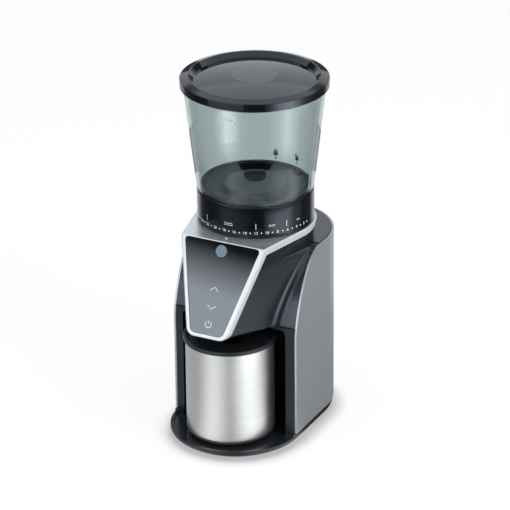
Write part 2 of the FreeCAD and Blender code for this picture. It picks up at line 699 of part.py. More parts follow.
def bay_roof():
    """Plate over the bay that carries the gearbox and the motor."""
    return prism(bay_plan(), (BAY_CEILING_Z, FRAME_TOP_Z))


def rear_shell():
    z = (BASE_TOP_Z, SHOULDER_END[1])
    outside = body_prism(BODY_HALF_WIDTH, POST_FRONT_INNER_Y - OVER, z)
    through = (z[0] - OVER, z[1] + OVER)
    inside = body_prism(BODY_HALF_WIDTH - SHELL_WALL, POST_FRONT_INNER_Y - 2 * OVER, through)
    wrap = outside.cut(inside).common(behind_shoulder())
    return wrap.cut(gland_rod(GLAND_RADIUS, -2 * OVER, 2 * OVER))


def gland_rod(radius, inside, outside):
    """Level cylinder through the back wall, from inside to outside of its face."""
    wall_y = BACK_CENTRE_Y + math.sqrt(BODY_HALF_WIDTH ** 2 - GLAND_X ** 2)
    start = Vector(GLAND_X, wall_y + inside, GLAND_Z)
    return Part.makeCylinder(radius, outside - inside, start, Vector(0, 1, 0))


def deck_cover():
    z = (DECK_TOP_Z - DECK_THICK, DECK_TOP_Z)
    plate = body_prism(FRAME_HALF_WIDTH, FLARE_BACK_Y, z)
    plate = plate.common(box((-REACH, REACH), (FLARE_BACK_Y + SLIP, BODY_BACK_Y), z))
    neck = head_core((z[0] - OVER, z[1] + OVER), 0.0, -SLIP)
    return plate.cut(neck)


def board_post(side):
    """Upright on the base with a groove that holds one edge of the power board."""
    x = side * POWER_BOARD_HALF_WIDTH
    middle = POWER_BOARD_Y + BOARD_THICK / 2
    half = BOARD_POST_SIZE / 2
    post = box((x - half, x + half), (middle - half, middle + half), (BASE_TOP_Z, BOARD_POST_TOP_Z))
    faces = (POWER_BOARD_Y - RUNNING, POWER_BOARD_Y + BOARD_THICK + RUNNING)
    groove = box(sorted((0.0, x + side * RUNNING)), faces, (BASE_TOP_Z, BOARD_POST_TOP_Z))
    return post.cut(groove)


def base_tray():
    """Base moulding with its raised body plinth, cup tray and front rim."""
    low = FOOT_HEIGHT
    slab = base_prism(0.0, (low, BASE_TOP_Z))
    slab = rounded(slab, BASE_EDGE_ROUND, lambda e: at_height(e, low))
    above = BASE_TOP_Z + OVER
    front = box((-REACH, REACH), (BASE_FRONT_Y - OVER, PLINTH_FRONT_Y), (TRAY_RIM_Z, above))
    tray = base_prism(TRAY_RIM_WIDTH, (TRAY_FLOOR_Z, above))
    tray = tray.common(box((-REACH, REACH), (BASE_FRONT_Y, PLINTH_FRONT_Y), (0.0, above)))
    bay = box((-BAY_HALF_WIDTH, BAY_HALF_WIDTH), (PLINTH_FRONT_Y - OVER, BAY_BACK_Y), (TRAY_FLOOR_Z, above))
    bay = rounded(bay, BAY_CORNER_ROUND, lambda e: is_upright(e) and e.CenterOfMass.y > 0.0)
    pad = rod(CUP_PAD_RADIUS, (TRAY_FLOOR_Z, CUP_BOTTOM_Z), 0, CUP_Y)
    posts = [board_post(side) for side in (-1, 1)]
    under = base_prism(BASE_WALL, (low - OVER, TRAY_FLOOR_Z - BASE_SKIN))
    return join([slab.cut(front).cut(tray).cut(bay), pad] + posts).cut(under)


def base_plate():
    plate = base_prism(BASE_WALL + SLIP, (FOOT_HEIGHT, FOOT_HEIGHT + BASE_PLATE_THICK))
    for x, y in BASE_SCREW_PLACES:
        plate = plate.cut(rod(BASE_SCREW_HOLE, (0.0, BASE_TOP_Z), x, y))
    return plate


def base_screws():
    """Pan-head screws through the base plate, short of the tray above."""
    screws = []
    for x, y in BASE_SCREW_PLACES:
        head = rod(BASE_SCREW_HEAD_RADIUS, (FOOT_HEIGHT - BASE_SCREW_HEAD_HEIGHT, FOOT_HEIGHT), x, y)
        shank = rod(BASE_SCREW_HOLE - SCREW_CLEARANCE, (FOOT_HEIGHT, TRAY_FLOOR_Z - BASE_SKIN), x, y)
        screws.append(head.fuse(shank))
    return screws


def feet():
    return [Part.makeCone(FOOT_RADIUS - FOOT_DRAFT, FOOT_RADIUS, FOOT_HEIGHT, Vector(x, y, 0))
            for x, y in FOOT_PLACES]


def grounds_cup():
    inner = CUP_RADIUS - CUP_WALL
    outside = rod(CUP_RADIUS, (CUP_BOTTOM_Z, CUP_TOP_Z), 0, CUP_Y)
    outside = rounded(outside, CUP_CORNER_ROUND, lambda e: at_height(e, CUP_BOTTOM_Z))
    inside = rod(inner, (CUP_BOTTOM_Z + CUP_WALL, CUP_TOP_Z + OVER), 0, CUP_Y)
    inside = rounded(inside, CUP_CORNER_ROUND - CUP_WALL, lambda e: at_height(e, CUP_BOTTOM_Z + CUP_WALL))
    return outside.cut(inside)


def cup_lid():
    """Push-in lid with a dished top and the hole the coffee falls through."""
    plug = CUP_RADIUS - CUP_WALL - SLIP
    brim_z = CUP_TOP_Z + SLIP
    dish_z = CUP_LID_TOP_Z - CUP_LID_DISH_DEPTH
    plug_z = CUP_TOP_Z - CUP_LID_PLUG_DEPTH
    under, plug_inner = brim_z - CUP_LID_SKIN, plug - CUP_LID_PLUG_WALL
    points = [(CUP_LID_HOLE, under), (plug_inner, under), (plug_inner, plug_z),
              (plug, plug_z), (plug, brim_z), (CUP_LID_RADIUS, brim_z),
              (CUP_LID_RADIUS, CUP_LID_TOP_Z), (CUP_LID_RADIUS - CUP_LID_BRIM, CUP_LID_TOP_Z),
              (CUP_LID_RADIUS - CUP_LID_DISH_EDGE, dish_z), (CUP_LID_HOLE, dish_z - CUP_LID_DISH_FALL)]
    lid = turned(points, CUP_Y)
    return rounded(lid, CUP_LID_EDGE_ROUND, lambda e: is_ring(e, CUP_LID_RADIUS, CUP_LID_TOP_Z))


def grind_ring():
    """Dial: outer wall, web, threaded collar and the bayonet keepers."""
    inner = DIAL_RADIUS - DIAL_WALL
    collar = DIAL_COLLAR_INNER + DIAL_COLLAR_WALL
    web_top = DIAL_WEB_Z + DIAL_WEB_THICK
    points = [(DIAL_COLLAR_INNER, DIAL_COLLAR_Z), (collar, DIAL_COLLAR_Z), (collar, DIAL_WEB_Z),
              (inner, DIAL_WEB_Z), (inner, DIAL_BOTTOM_Z), (DIAL_RADIUS, DIAL_BOTTOM_Z),
              (DIAL_RADIUS, DIAL_TOP_Z), (inner, DIAL_TOP_Z), (inner, web_top), (DIAL_COLLAR_INNER, web_top)]
    ring = rounded(turned(points), DIAL_EDGE_ROUND, lambda e: is_ring(e, DIAL_RADIUS, DIAL_TOP_Z))
    keeper = turned_block(SPIGOT_RADIUS + SLIP, inner + BAYONET_ROOT, BAYONET_KEEPER_Z)
    return join([ring] + [sector(keeper, BAYONET_KEEPER_ANGLE, place) for place in lug_places()])


def lug_places():
    return [90.0 + index * 360.0 / BAYONET_LUGS for index in range(BAYONET_LUGS)]


def sector(ring, angle, place):
    """Piece of a turned ring, angle degrees wide, centred on a direction."""
    reach = 2 * BODY_HALF_WIDTH
    half = math.radians(angle / 2)
    edge_x, edge_y = reach * math.cos(half), reach * math.sin(half)
    wedge = prism([(0.0, AXIS_Y), (edge_x, AXIS_Y - edge_y), (edge_x, AXIS_Y + edge_y)], (0.0, LID_TOP_Z))
    return ring.common(turned_about(wedge, place))


def bean_hopper():
    """Tapered clear wall with its spigot and three bayonet lugs."""
    slope = (HOPPER_TOP_RADIUS - HOPPER_BOTTOM_RADIUS) / (HOPPER_TOP_Z - HOPPER_BOTTOM_Z)
    step_z = HOPPER_BOTTOM_Z + HOPPER_STEP
    inner_bottom = HOPPER_BOTTOM_RADIUS - HOPPER_WALL + HOPPER_STEP * slope
    inner = SPIGOT_RADIUS - SPIGOT_WALL
    points = [(inner, SPIGOT_BOTTOM_Z), (SPIGOT_RADIUS, SPIGOT_BOTTOM_Z), (SPIGOT_RADIUS, HOPPER_BOTTOM_Z),
              (HOPPER_BOTTOM_RADIUS, HOPPER_BOTTOM_Z), (HOPPER_TOP_RADIUS, HOPPER_TOP_Z),
              (HOPPER_TOP_RADIUS - HOPPER_WALL, HOPPER_TOP_Z), (inner_bottom, step_z), (inner, step_z)]
    wall = turned(points)
    lug_top = BAYONET_KEEPER_Z[0] - SLIP
    lug = turned_block(SPIGOT_RADIUS - BAYONET_ROOT, SPIGOT_RADIUS + BAYONET_LUG_PROUD,
                       (lug_top - BAYONET_LUG_THICK, lug_top))
    return join([wall] + [sector(lug, BAYONET_LUG_ANGLE, place) for place in lug_places()])


def hopper_floor():
    """Funnel that closes the hopper down to the throat over the burrs."""
    edge = HOPPER_BOTTOM_RADIUS - HOPPER_WALL - SLIP
    seat = SPIGOT_RADIUS - SPIGOT_WALL - SLIP
    fall, drop = FLOOR_LIP_FALL
    points = [(edge, FLOOR_EDGE_Z), (edge, FLOOR_EDGE_Z + FLOOR_RIM),
              (FLOOR_LIP_RADIUS + FLOOR_LIP_WIDTH, FLOOR_LIP_Z),
              (FLOOR_LIP_RADIUS, FLOOR_LIP_Z + FLOOR_LIP_RISE), (FLOOR_LIP_RADIUS - fall, FLOOR_LIP_Z - drop),
              (FLOOR_THROAT_RADIUS, FLOOR_THROAT_Z + FLOOR_THROAT_LENGTH),
              (FLOOR_THROAT_RADIUS, FLOOR_THROAT_Z),
              (FLOOR_THROAT_RADIUS + FLOOR_SKIN, FLOOR_THROAT_Z),
              (FLOOR_LIP_RADIUS, FLOOR_LIP_Z - 2 * FLOOR_SKIN),
              (seat - FLOOR_SKIN / 2, FLOOR_EDGE_Z - 2 * FLOOR_SKIN + FLOOR_LIP_RISE),
              (seat, FLOOR_EDGE_Z - FLOOR_SKIN / 2), (seat, FLOOR_EDGE_Z)]
    return turned(points)


def round_corner(before, corner, after, radius):
    """Arc that rounds the corner of a profile."""
    back, ahead = (before - corner).normalize(), (after - corner).normalize()
    half = back.getAngle(ahead) / 2
    run = radius / math.tan(half)
    middle = corner + (back + ahead).normalize() * (radius / math.sin(half) - radius)
    return Part.Arc(corner + back * run, middle, corner + ahead * run)


def profile_edges(corners):
    """Edges through (radius, z, rounding) corners; a rounding of zero leaves the corner sharp."""
    spots = [Vector(radius, AXIS_Y, z) for radius, z, rounding in corners]
    edges, start = [], spots[0]
    for index, spot in enumerate(spots[1:-1], 1):
        rounding = corners[index][2]
        if rounding:
            arc = round_corner(spots[index - 1], spot, spots[index + 1], rounding)
            edges += [Part.makeLine(start, arc.StartPoint), arc.toShape()]
            start = arc.EndPoint
        else:
            edges.append(Part.makeLine(start, spot))
            start = spot
    return edges + [Part.makeLine(start, spots[-1])]


def dome_arc(radius, low_z, top_z):
    """Arc from a ring in to the axis, which it meets level."""
    sag = top_z - low_z
    curve = (radius ** 2 + sag ** 2) / (2 * sag)
    half = radius / 2
    half_z = top_z - curve + math.sqrt(curve ** 2 - half ** 2)
    spots = [Vector(r, AXIS_Y, z) for r, z in ((radius, low_z), (half, half_z), (0.0, top_z))]
    return Part.Arc(spots[0], spots[1], spots[2]).toShape()


def hopper_lid():
    """Lid with a domed middle in a groove, a raised crest, a rim outside and a skirt inside the hopper."""
    rim_inner = HOPPER_TOP_RADIUS + 2 * SLIP
    under = LID_GROOVE_Z - LID_SKIN
    under_top = LID_TOP_Z - LID_SKIN
    skirt_inner = LID_SKIRT_RADIUS - LID_SKIRT_WALL
    outline = profile_edges([(skirt_inner, under, 0), (skirt_inner, LID_SKIRT_Z, 0),
                             (LID_SKIRT_RADIUS, LID_SKIRT_Z, 0), (LID_SKIRT_RADIUS, under, 0),
                             (rim_inner, under, 0), (rim_inner, LID_RIM_Z, 0), (LID_RADIUS, LID_RIM_Z, 0),
                             (LID_RADIUS, LID_EDGE_Z, LID_EDGE_ROUND),
                             (LID_CREST_RADIUS, LID_CREST_Z, LID_CREST_ROUND),
                             (LID_GROOVE_RADIUS, LID_GROOVE_Z, 0)])
    outline.append(dome_arc(LID_GROOVE_RADIUS, LID_GROOVE_Z, LID_TOP_Z))
    outline.append(Part.makeLine(Vector(0, AXIS_Y, LID_TOP_Z), Vector(0, AXIS_Y, under_top)))
    outline.append(dome_arc(skirt_inner, under, under_top))
    section = Part.Face(Part.Wire(Part.__sortEdges__(outline)))
    return section.revolve(Vector(0, AXIS_Y, 0), Vector(0, 0, 1), 360)


def lid_seal():
    low = LID_SKIRT_Z + SEAL_RISE
    inner = LID_SKIRT_RADIUS + SEAT
    return tube(inner + SEAL_WIDTH, inner, (low, low + SEAL_HEIGHT), 0, AXIS_Y)


def star(teeth, radius, depth, z, twist):
    """Saw-tooth outline about the shaft axis, as a wire."""
    points = []
    for index in range(teeth):
        for reach, place in ((radius, index), (radius - depth, index + BURR_TOOTH_LEAN)):
            angle = math.radians(twist + place * 360.0 / teeth)
            points.append(Vector(reach * math.cos(angle), AXIS_Y + reach * math.sin(angle), z))
    return Part.makePolygon(points + points[:1])


def cone_radius_at(z):
    share = (z - CONE_BURR_Z[0]) / (CONE_BURR_Z[1] - CONE_BURR_Z[0])
    return CONE_BURR_RADII[0] + share * (CONE_BURR_RADII[1] - CONE_BURR_RADII[0])


def cone_burr():
    low, high = CONE_BURR_Z
    sections = [star(CONE_BURR_TEETH, cone_radius_at(z), BURR_TOOTH, z, twist)
                for z, twist in ((low, 0.0), (high, BURR_TWIST))]
    burr = Part.makeLoft(sections, True, True)
    return burr.cut(rod(SHAFT_RADIUS + SEAT, (low - OVER, high + OVER), 0, AXIS_Y))


def ring_burr():
    low, high = RING_BURR_Z
    sections = [star(RING_BURR_TEETH, cone_radius_at(z) + BURR_GAP + BURR_TOOTH, BURR_TOOTH, z, 0.0)
                for z in (low, high)]
    return rod(RING_BURR_RADIUS, RING_BURR_Z, 0, AXIS_Y).cut(Part.makeLoft(sections, True, True))


def burr_carrier():
    """Sleeve that holds the ring burr and climbs in the dial's thread."""
    outer = CHAMBER_BORE - SLIP
    thread = DIAL_COLLAR_INNER - SLIP
    seat = RING_BURR_RADIUS + SEAT
    seat_top = RING_BURR_Z[1] + SEAT
    points = [(seat, CARRIER_BOTTOM_Z), (outer, CARRIER_BOTTOM_Z), (outer, CARRIER_THREAD_Z),
              (thread, CARRIER_THREAD_Z), (thread, CARRIER_TOP_Z), (CARRIER_THROAT, CARRIER_TOP_Z),
              (CARRIER_THROAT, seat_top), (seat, seat_top)]
    return turned(points)


def grind_chamber():
    """Bowl under the burrs with a flange, and a port to the chute in front."""
    outer = CHAMBER_BORE + CHAMBER_WALL
    flange_top = CHAMBER_FLANGE_Z + CHAMBER_FLANGE_THICK
    floor = CHAMBER_FLOOR_Z + CHAMBER_WALL
    hub = SHAFT_RADIUS + SHAFT_HOLE_GAP
    brim = CHAMBER_FLANGE_RADIUS
    points = [(hub, CHAMBER_FLOOR_Z), (outer, CHAMBER_FLOOR_Z), (outer, CHAMBER_FLANGE_Z),
              (brim, CHAMBER_FLANGE_Z), (brim, flange_top), (outer, flange_top),
              (outer, CHAMBER_TOP_Z), (CHAMBER_BORE, CHAMBER_TOP_Z), (CHAMBER_BORE, floor), (hub, floor)]
    half = CHUTE_HALF_WIDTH - CHUTE_WALL
    port = box((-half, half), (AXIS_Y - outer - OVER, AXIS_Y),
               (CHUTE_INLET_Z[0] + CHUTE_WALL, CHUTE_INLET_Z[1] - CHUTE_WALL))
    return turned(points).cut(port)


def chute_form(inset):
    """Duct from the chamber's port down to the outlet, set in by inset."""
    half = CHUTE_HALF_WIDTH - SLIP - inset
    start_y = AXIS_Y - CHAMBER_BORE - CHAMBER_WALL - SLIP
    low, high = CHUTE_INLET_Z[0] + inset, CHUTE_INLET_Z[1] - inset
    front, back = CHUTE_OUTLET_Y[0] + SLIP + inset, CHUTE_OUTLET_Y[1] - SLIP - inset
    sections = [[(start_y, low), (start_y, high)],
                [(back, CHUTE_OUTLET_Z), (front, CHUTE_OUTLET_Z + CHUTE_OUTLET_RISE)],
                [(back, CHUTE_END_Z), (front, CHUTE_END_Z)]]
    wires = []
    for (near_y, near_z), (far_y, far_z) in sections:
        corners = [Vector(-half, near_y, near_z), Vector(half, near_y, near_z),
                   Vector(half, far_y, far_z), Vector(-half, far_y, far_z)]
        wires.append(Part.makePolygon(corners + corners[:1]))
    return Part.makeLoft(wires, True, True)


def coffee_chute():
    outside, inside = chute_form(0.0), chute_form(CHUTE_WALL)
    return outside.cut(inside)


def sweeper():
    """Hub with four paddles that push the grounds to the port."""
    low, high = SWEEPER_Z
    disc = rod(SWEEPER_RADIUS, (low, low + SWEEPER_DISC), 0, AXIS_Y)
    hub = rod(SWEEPER_HUB, SWEEPER_Z, 0, AXIS_Y)
    half = SWEEPER_PADDLE_THICK / 2
    paddle = box((SWEEPER_HUB - SWEEPER_STEP, SWEEPER_RADIUS - SWEEPER_STEP), (AXIS_Y - half, AXIS_Y + half),
                 (low, high - SWEEPER_STEP))
    blades = [turned_about(paddle, index * 360.0 / SWEEPER_PADDLES) for index in range(SWEEPER_PADDLES)]
    return join([disc, hub] + blades).cut(rod(SHAFT_RADIUS + SEAT, (low - OVER, high + OVER), 0, AXIS_Y))


def feed_cone():
    """Shaft cap that carries the beans into the burrs."""
    low = CONE_BURR_Z[1]
    bore = SHAFT_RADIUS + SEAT
    shaft_top = SHAFT_TOP_Z + SEAT
    tip = [(radius, FEED_CONE_TOP_Z - drop) for radius, drop in FEED_CONE_TIP]
    points = [(bore, low), (FEED_CONE_RADIUS, low), (FEED_CONE_RADIUS, low + FEED_CONE_COLLAR)]
    points += tip + [(0.0, FEED_CONE_TOP_Z), (0.0, shaft_top), (bore, shaft_top)]
    return turned(points)


def gear(teeth, module, z, x, y, bore, phase=0.0):
    """Spur gear with straight-flanked teeth; phase turns it in tooth pitches."""
    pitch = teeth * module / 2
    tip, root = pitch + module, pitch - module - GEAR_CLEARANCE
    step = 360.0 / teeth
    half_pitch = 90.0 / teeth - math.degrees(BACKLASH / 2 / pitch)
    flank = math.degrees(math.tan(PRESSURE_ANGLE) * module / pitch)
    root_flank = flank * (pitch - root) / module
    points = []
    for index in range(teeth):
        middle = (index + phase) * step
        places = [(root, -half_pitch - root_flank), (tip, -half_pitch + flank),
                  (tip, half_pitch - flank), (root, half_pitch + root_flank)]
        for radius, turn in places:
            angle = math.radians(middle + turn)
            points.append((x + radius * math.cos(angle), y + radius * math.sin(angle)))
    return prism(points, z).cut(rod(bore, (z[0] - OVER, z[1] + OVER), x, y))


def idler_place():
    """Idler axis: one centre distance from the motor, the other from the burrs."""
    to_motor = STAGE_ONE_MODULE * (PINION_TEETH + IDLER_GEAR_TEETH) / 2
    to_burr = STAGE_TWO_MODULE * (IDLER_PINION_TEETH + MAIN_GEAR_TEETH) / 2
    span = MOTOR_Y - AXIS_Y
    along = (to_burr ** 2 - to_motor ** 2 + span ** 2) / (2 * span)
    return math.sqrt(to_burr ** 2 - along ** 2), AXIS_Y + along


IDLER_X, IDLER_Y = idler_place()


def mesh_phase(teeth, from_x, from_y, to_x, to_y, on_tooth):
    """Phase that puts a tooth, or a gap, on the line towards a mating gear."""
    bearing = math.degrees(math.atan2(to_y - from_y, to_x - from_x))
    return bearing * teeth / 360.0 + (0.0 if on_tooth else 0.5)


def main_gear():
    phase = mesh_phase(MAIN_GEAR_TEETH, 0, AXIS_Y, IDLER_X, IDLER_Y, True)
    disc = gear(MAIN_GEAR_TEETH, STAGE_TWO_MODULE, STAGE_TWO_Z, 0, AXIS_Y, SHAFT_RADIUS + SEAT, phase)
    top = STAGE_TWO_Z[1]
    return disc.cut(turned_block(*MAIN_GEAR_POCKET, (top - MAIN_GEAR_POCKET_DEPTH, top + OVER)))


def idler_gear():
    phase = mesh_phase(IDLER_GEAR_TEETH, IDLER_X, IDLER_Y, 0, MOTOR_Y, True)
    bore = IDLER_PIN_RADIUS + RUNNING
    wheel = gear(IDLER_GEAR_TEETH, STAGE_ONE_MODULE, STAGE_ONE_Z, IDLER_X, IDLER_Y, bore, phase)
    neck = tube(IDLER_NECK_RADIUS, bore, (STAGE_ONE_Z[1], STAGE_TWO_Z[0]), IDLER_X, IDLER_Y)
    phase = mesh_phase(IDLER_PINION_TEETH, IDLER_X, IDLER_Y, 0, AXIS_Y, False)
    pinion = gear(IDLER_PINION_TEETH, STAGE_TWO_MODULE, STAGE_TWO_Z, IDLER_X, IDLER_Y, bore, phase)
    return join([wheel, neck, pinion])


def idler_pin():
    z = (LOWER_PLATE_Z[1] - IDLER_PIN_DEPTH, UPPER_PLATE_Z[0] + IDLER_PIN_DEPTH)
    return rod(IDLER_PIN_RADIUS, z, IDLER_X, IDLER_Y)


def motor_pinion():
    phase = mesh_phase(PINION_TEETH, 0, MOTOR_Y, IDLER_X, IDLER_Y, False)
    return gear(PINION_TEETH, STAGE_ONE_MODULE, STAGE_ONE_Z, 0, MOTOR_Y, MOTOR_SHAFT_RADIUS + SEAT, phase)


def spacer_places():
    columns = (PLATE_X[0] + PLATE_ROUND, PLATE_X[1] - PLATE_ROUND)
    rows = (PLATE_Y[0] + PLATE_ROUND, PLATE_Y[1] - PLATE_ROUND)
    return [(x, y) for x in columns for y in rows]


def gear_plate(z):
    plate = rounded(box(PLATE_X, PLATE_Y, z), PLATE_ROUND, is_upright)
    for x, y in spacer_places():
        plate = plate.cut(rod(SPACER_BORE, (z[0] - OVER, z[1] + OVER), x, y))
    return plate


def lower_gear_plate():
    low, high = LOWER_PLATE_Z
    plate = gear_plate(LOWER_PLATE_Z)
    plate = plate.cut(rod(BEARING_RADIUS + SEAT, (low + BEARING_LIP, high + OVER), 0, AXIS_Y))
    plate = plate.cut(rod(MOTOR_SHAFT_RADIUS + MOTOR_HOLE_GAP, (low - OVER, high + OVER), 0, MOTOR_Y))
    return plate.cut(rod(IDLER_PIN_RADIUS + SEAT, (high - IDLER_PIN_DEPTH, high + OVER), IDLER_X, IDLER_Y))


def upper_gear_plate():
    low, high = UPPER_PLATE_Z
    plate = gear_plate(UPPER_PLATE_Z)
    plate = plate.cut(rod(BEARING_RADIUS + SEAT, (low - OVER, high - BEARING_LIP), 0, AXIS_Y))
    plate = plate.cut(rod(SHAFT_RADIUS + SHAFT_HOLE_GAP, (low - OVER, high + OVER), 0, AXIS_Y))
    return plate.cut(rod(IDLER_PIN_RADIUS + SEAT, (low - OVER, low + IDLER_PIN_DEPTH), IDLER_X, IDLER_Y))


def gear_spacers():
    z = (LOWER_PLATE_Z[1], UPPER_PLATE_Z[0])
    return [tube(SPACER_RADIUS, SPACER_BORE, z, x, y) for x, y in spacer_places()]


def gear_screws():
    """Long screws through both plates and their spacers."""
    z = (LOWER_PLATE_Z[0], UPPER_PLATE_Z[1])
    screws = []
    for x, y in spacer_places():
        head = rod(GEAR_SCREW_HEAD_RADIUS, (z[1], z[1] + GEAR_SCREW_HEAD_HEIGHT), x, y)
        screws.append(rod(SPACER_BORE - SCREW_CLEARANCE, z, x, y).fuse(head))
    return screws


def bearing(z):
    return tube(BEARING_RADIUS, SHAFT_RADIUS + RUNNING, z, 0, AXIS_Y)


def burr_shaft():
    return rod(SHAFT_RADIUS, (LOWER_PLATE_Z[0] + BEARING_LIP, SHAFT_TOP_Z), 0, AXIS_Y)


def motor_can():
    """Drawn can, closed on top with a boss against the lower plate."""
    low, high = MOTOR_Z
    hole = MOTOR_SHAFT_RADIUS + RUNNING
    points = [(MOTOR_RADIUS - MOTOR_WALL, low), (MOTOR_RADIUS, low), (MOTOR_RADIUS, high),
              (MOTOR_BOSS_RADIUS, high), (MOTOR_BOSS_RADIUS, LOWER_PLATE_Z[0]), (hole, LOWER_PLATE_Z[0]),
              (hole, high - MOTOR_WALL), (MOTOR_RADIUS - MOTOR_WALL, high - MOTOR_WALL)]
    return turned(points, MOTOR_Y)


def motor_end_cap():
    low = MOTOR_Z[0]
    hole = MOTOR_SHAFT_RADIUS + RUNNING
    inner = MOTOR_RADIUS - MOTOR_WALL - SEAT
    boss_z, flange_z, spigot_z = low - END_CAP_BOSS_DEPTH, low - END_CAP_THICK, low + END_CAP_SPIGOT
    points = [(hole, boss_z), (END_CAP_BOSS_RADIUS, boss_z), (END_CAP_BOSS_RADIUS, flange_z),
              (MOTOR_RADIUS, flange_z), (MOTOR_RADIUS, low), (inner, low), (inner, spigot_z),
              (hole, spigot_z)]
    return turned(points, MOTOR_Y)


def magnets():
    ring = tube(MOTOR_RADIUS - MOTOR_WALL - SEAT, MAGNET_INNER, ARMATURE_Z, 0, MOTOR_Y)
    half = MAGNET_GAP / 2
    gap = box((-REACH, REACH), (MOTOR_Y - half, MOTOR_Y + half), ARMATURE_Z)
    return ring.cut(gap).Solids


def armature():
    low, high = ARMATURE_Z
    stack = tube(ARMATURE_RADIUS, MOTOR_SHAFT_RADIUS + SEAT, ARMATURE_Z, 0, MOTOR_Y)
    half = ARMATURE_SLOT_WIDTH / 2
    slot = box((ARMATURE_RADIUS - ARMATURE_SLOT_DEPTH, ARMATURE_RADIUS + OVER),
               (MOTOR_Y - half, MOTOR_Y + half), (low - OVER, high + OVER))
    for index in range(ARMATURE_SLOTS):
        stack = stack.cut(turned_about(slot, index * 360.0 / ARMATURE_SLOTS, MOTOR_Y))
    return stack


def commutator():
    return tube(COMMUTATOR_RADIUS, MOTOR_SHAFT_RADIUS + SEAT, COMMUTATOR_Z, 0, MOTOR_Y)


def brushes():
    """Two carbon blocks held just off the commutator."""
    middle = sum(COMMUTATOR_Z) / 2
    inner = COMMUTATOR_RADIUS + SLIP
    outer = MOTOR_RADIUS - MOTOR_WALL - 2 * SLIP
    y = (MOTOR_Y - BRUSH_WIDTH / 2, MOTOR_Y + BRUSH_WIDTH / 2)
    z = (middle - BRUSH_HEIGHT / 2, middle + BRUSH_HEIGHT / 2)
    return [box(sorted((side * inner, side * outer)), y, z) for side in (-1, 1)]


def motor_shaft():
    z = (MOTOR_Z[0] - END_CAP_BOSS_DEPTH, STAGE_ONE_Z[1] + MOTOR_SHAFT_PROUD)
    return rod(MOTOR_SHAFT_RADIUS, z, 0, MOTOR_Y)


def detent_spring():
    """Leaf spring fixed to the trim plate that clicks under the dial."""
    strip = (HEAD_TOP_Z, HEAD_TOP_Z + SPRING_THICK)
    finger_x = (SPRING_X[0], SPRING_X[0] + SPRING_FINGER_WIDTH)
    end_y = SPRING_FINGER_END_Y
    leaf = box(SPRING_X, SPRING_LEAF_Y, strip)
    finger = box(finger_x, (end_y, SPRING_LEAF_Y[0]), strip)
    bump = box(finger_x, (end_y, end_y + SPRING_BUMP_LENGTH), (strip[1], SPRING_BUMP_TOP_Z))
    return join([leaf, finger, bump])


def safety_switch():
    """Small switch under the head's roof that senses the hopper."""
    top = HEAD_TOP_Z - TRIM_THICK - PLASTIC_WALL - SWITCH_GAP
    return box((-SWITCH_HALF_WIDTH, SWITCH_HALF_WIDTH), SWITCH_Y, (top - SWITCH_HEIGHT, top))


def power_board():
    half = POWER_BOARD_HALF_WIDTH
    return box((-half, half), (POWER_BOARD_Y, POWER_BOARD_Y + BOARD_THICK), POWER_BOARD_Z)


def board_capacitor():
    x, z = CAPACITOR_PLACE
    start = Vector(x, POWER_BOARD_Y - CAPACITOR_LENGTH, z)
    return Part.makeCylinder(CAPACITOR_RADIUS, CAPACITOR_LENGTH, start, Vector(0, 1, 0))


def board_relay():
    return box(RELAY_X, (POWER_BOARD_Y - RELAY_DEPTH, POWER_BOARD_Y), RELAY_Z)


def cord_gland():
    """Flanged bush in the shell where the cord enters."""
    barrel = gland_rod(GLAND_RADIUS - SLIP, -GLAND_INSIDE, GLAND_LENGTH - GLAND_INSIDE)
    flange = gland_rod(GLAND_RADIUS + GLAND_FLANGE_WIDTH, -GLAND_INSIDE - GLAND_FLANGE, -GLAND_INSIDE)
    hole = gland_rod(GLAND_BORE, -REACH / 2, REACH / 2)
    return barrel.fuse(flange).removeSplitter().cut(hole)


PIECES = {
    "hopper_lid": hopper_lid(), "lid_seal": lid_seal(), "bean_hopper": bean_hopper(),
    "hopper_floor": hopper_floor(), "grind_ring": grind_ring(), "burr_carrier": burr_carrier(),
    "ring_burr": ring_burr(), "cone_burr": cone_burr(), "feed_cone": feed_cone(), "burr_shaft": burr_shaft(),
    "sweeper": sweeper(), "grind_chamber": grind_chamber(), "coffee_chute": coffee_chute(),
    "main_gear": main_gear(), "idler_gear": idler_gear(), "idler_pin": idler_pin(),
    "motor_pinion": motor_pinion(), "lower_gear_plate": lower_gear_plate(),
    "upper_gear_plate": upper_gear_plate(), "gear_spacers": gear_spacers(), "gear_screws": gear_screws(),
    "lower_bearing": bearing((LOWER_PLATE_Z[0] + BEARING_LIP, LOWER_PLATE_Z[1])),
    "upper_bearing": bearing((UPPER_PLATE_Z[0], UPPER_PLATE_Z[1] - BEARING_LIP)),
    "motor_can": motor_can(), "motor_end_cap": motor_end_cap(), "motor_magnets": magnets(),
    "motor_armature": armature(), "motor_commutator": commutator(), "motor_brushes": brushes(),
    "motor_shaft": motor_shaft(), "detent_spring": detent_spring(), "safety_switch": safety_switch(),
    "trim_bezel": trim_bezel(), "touch_panel": touch_panel(), "touch_board": touch_board(),
    "head_housing": head_housing(), "bay_frame": bay_frame(), "bay_roof": bay_roof(),
    "rear_shell": rear_shell(), "deck_cover": deck_cover(), "power_board": power_board(),
    "board_capacitor": board_capacitor(),
    "board_relay": board_relay(), "cord_gland": cord_gland(), "base_tray": base_tray(),
    "base_plate": base_plate(), "base_screws": base_screws(), "rubber_feet": feet(),
    "grounds_cup": grounds_cup(), "cup_lid": cup_lid(),
}

for name, piece in PIECES.items():
    shape = Part.makeCompound(piece) if isinstance(piece, list) else piece
    shape.exportStep(f"parts/{name}.step")
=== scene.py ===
"""The looks of a burr coffee grinder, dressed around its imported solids.

Every length below is in millimetres and is turned to metres where it meets Blender.
The front of the grinder looks along -Y, +X is the side on the right of the picture, and Z is up.
"""

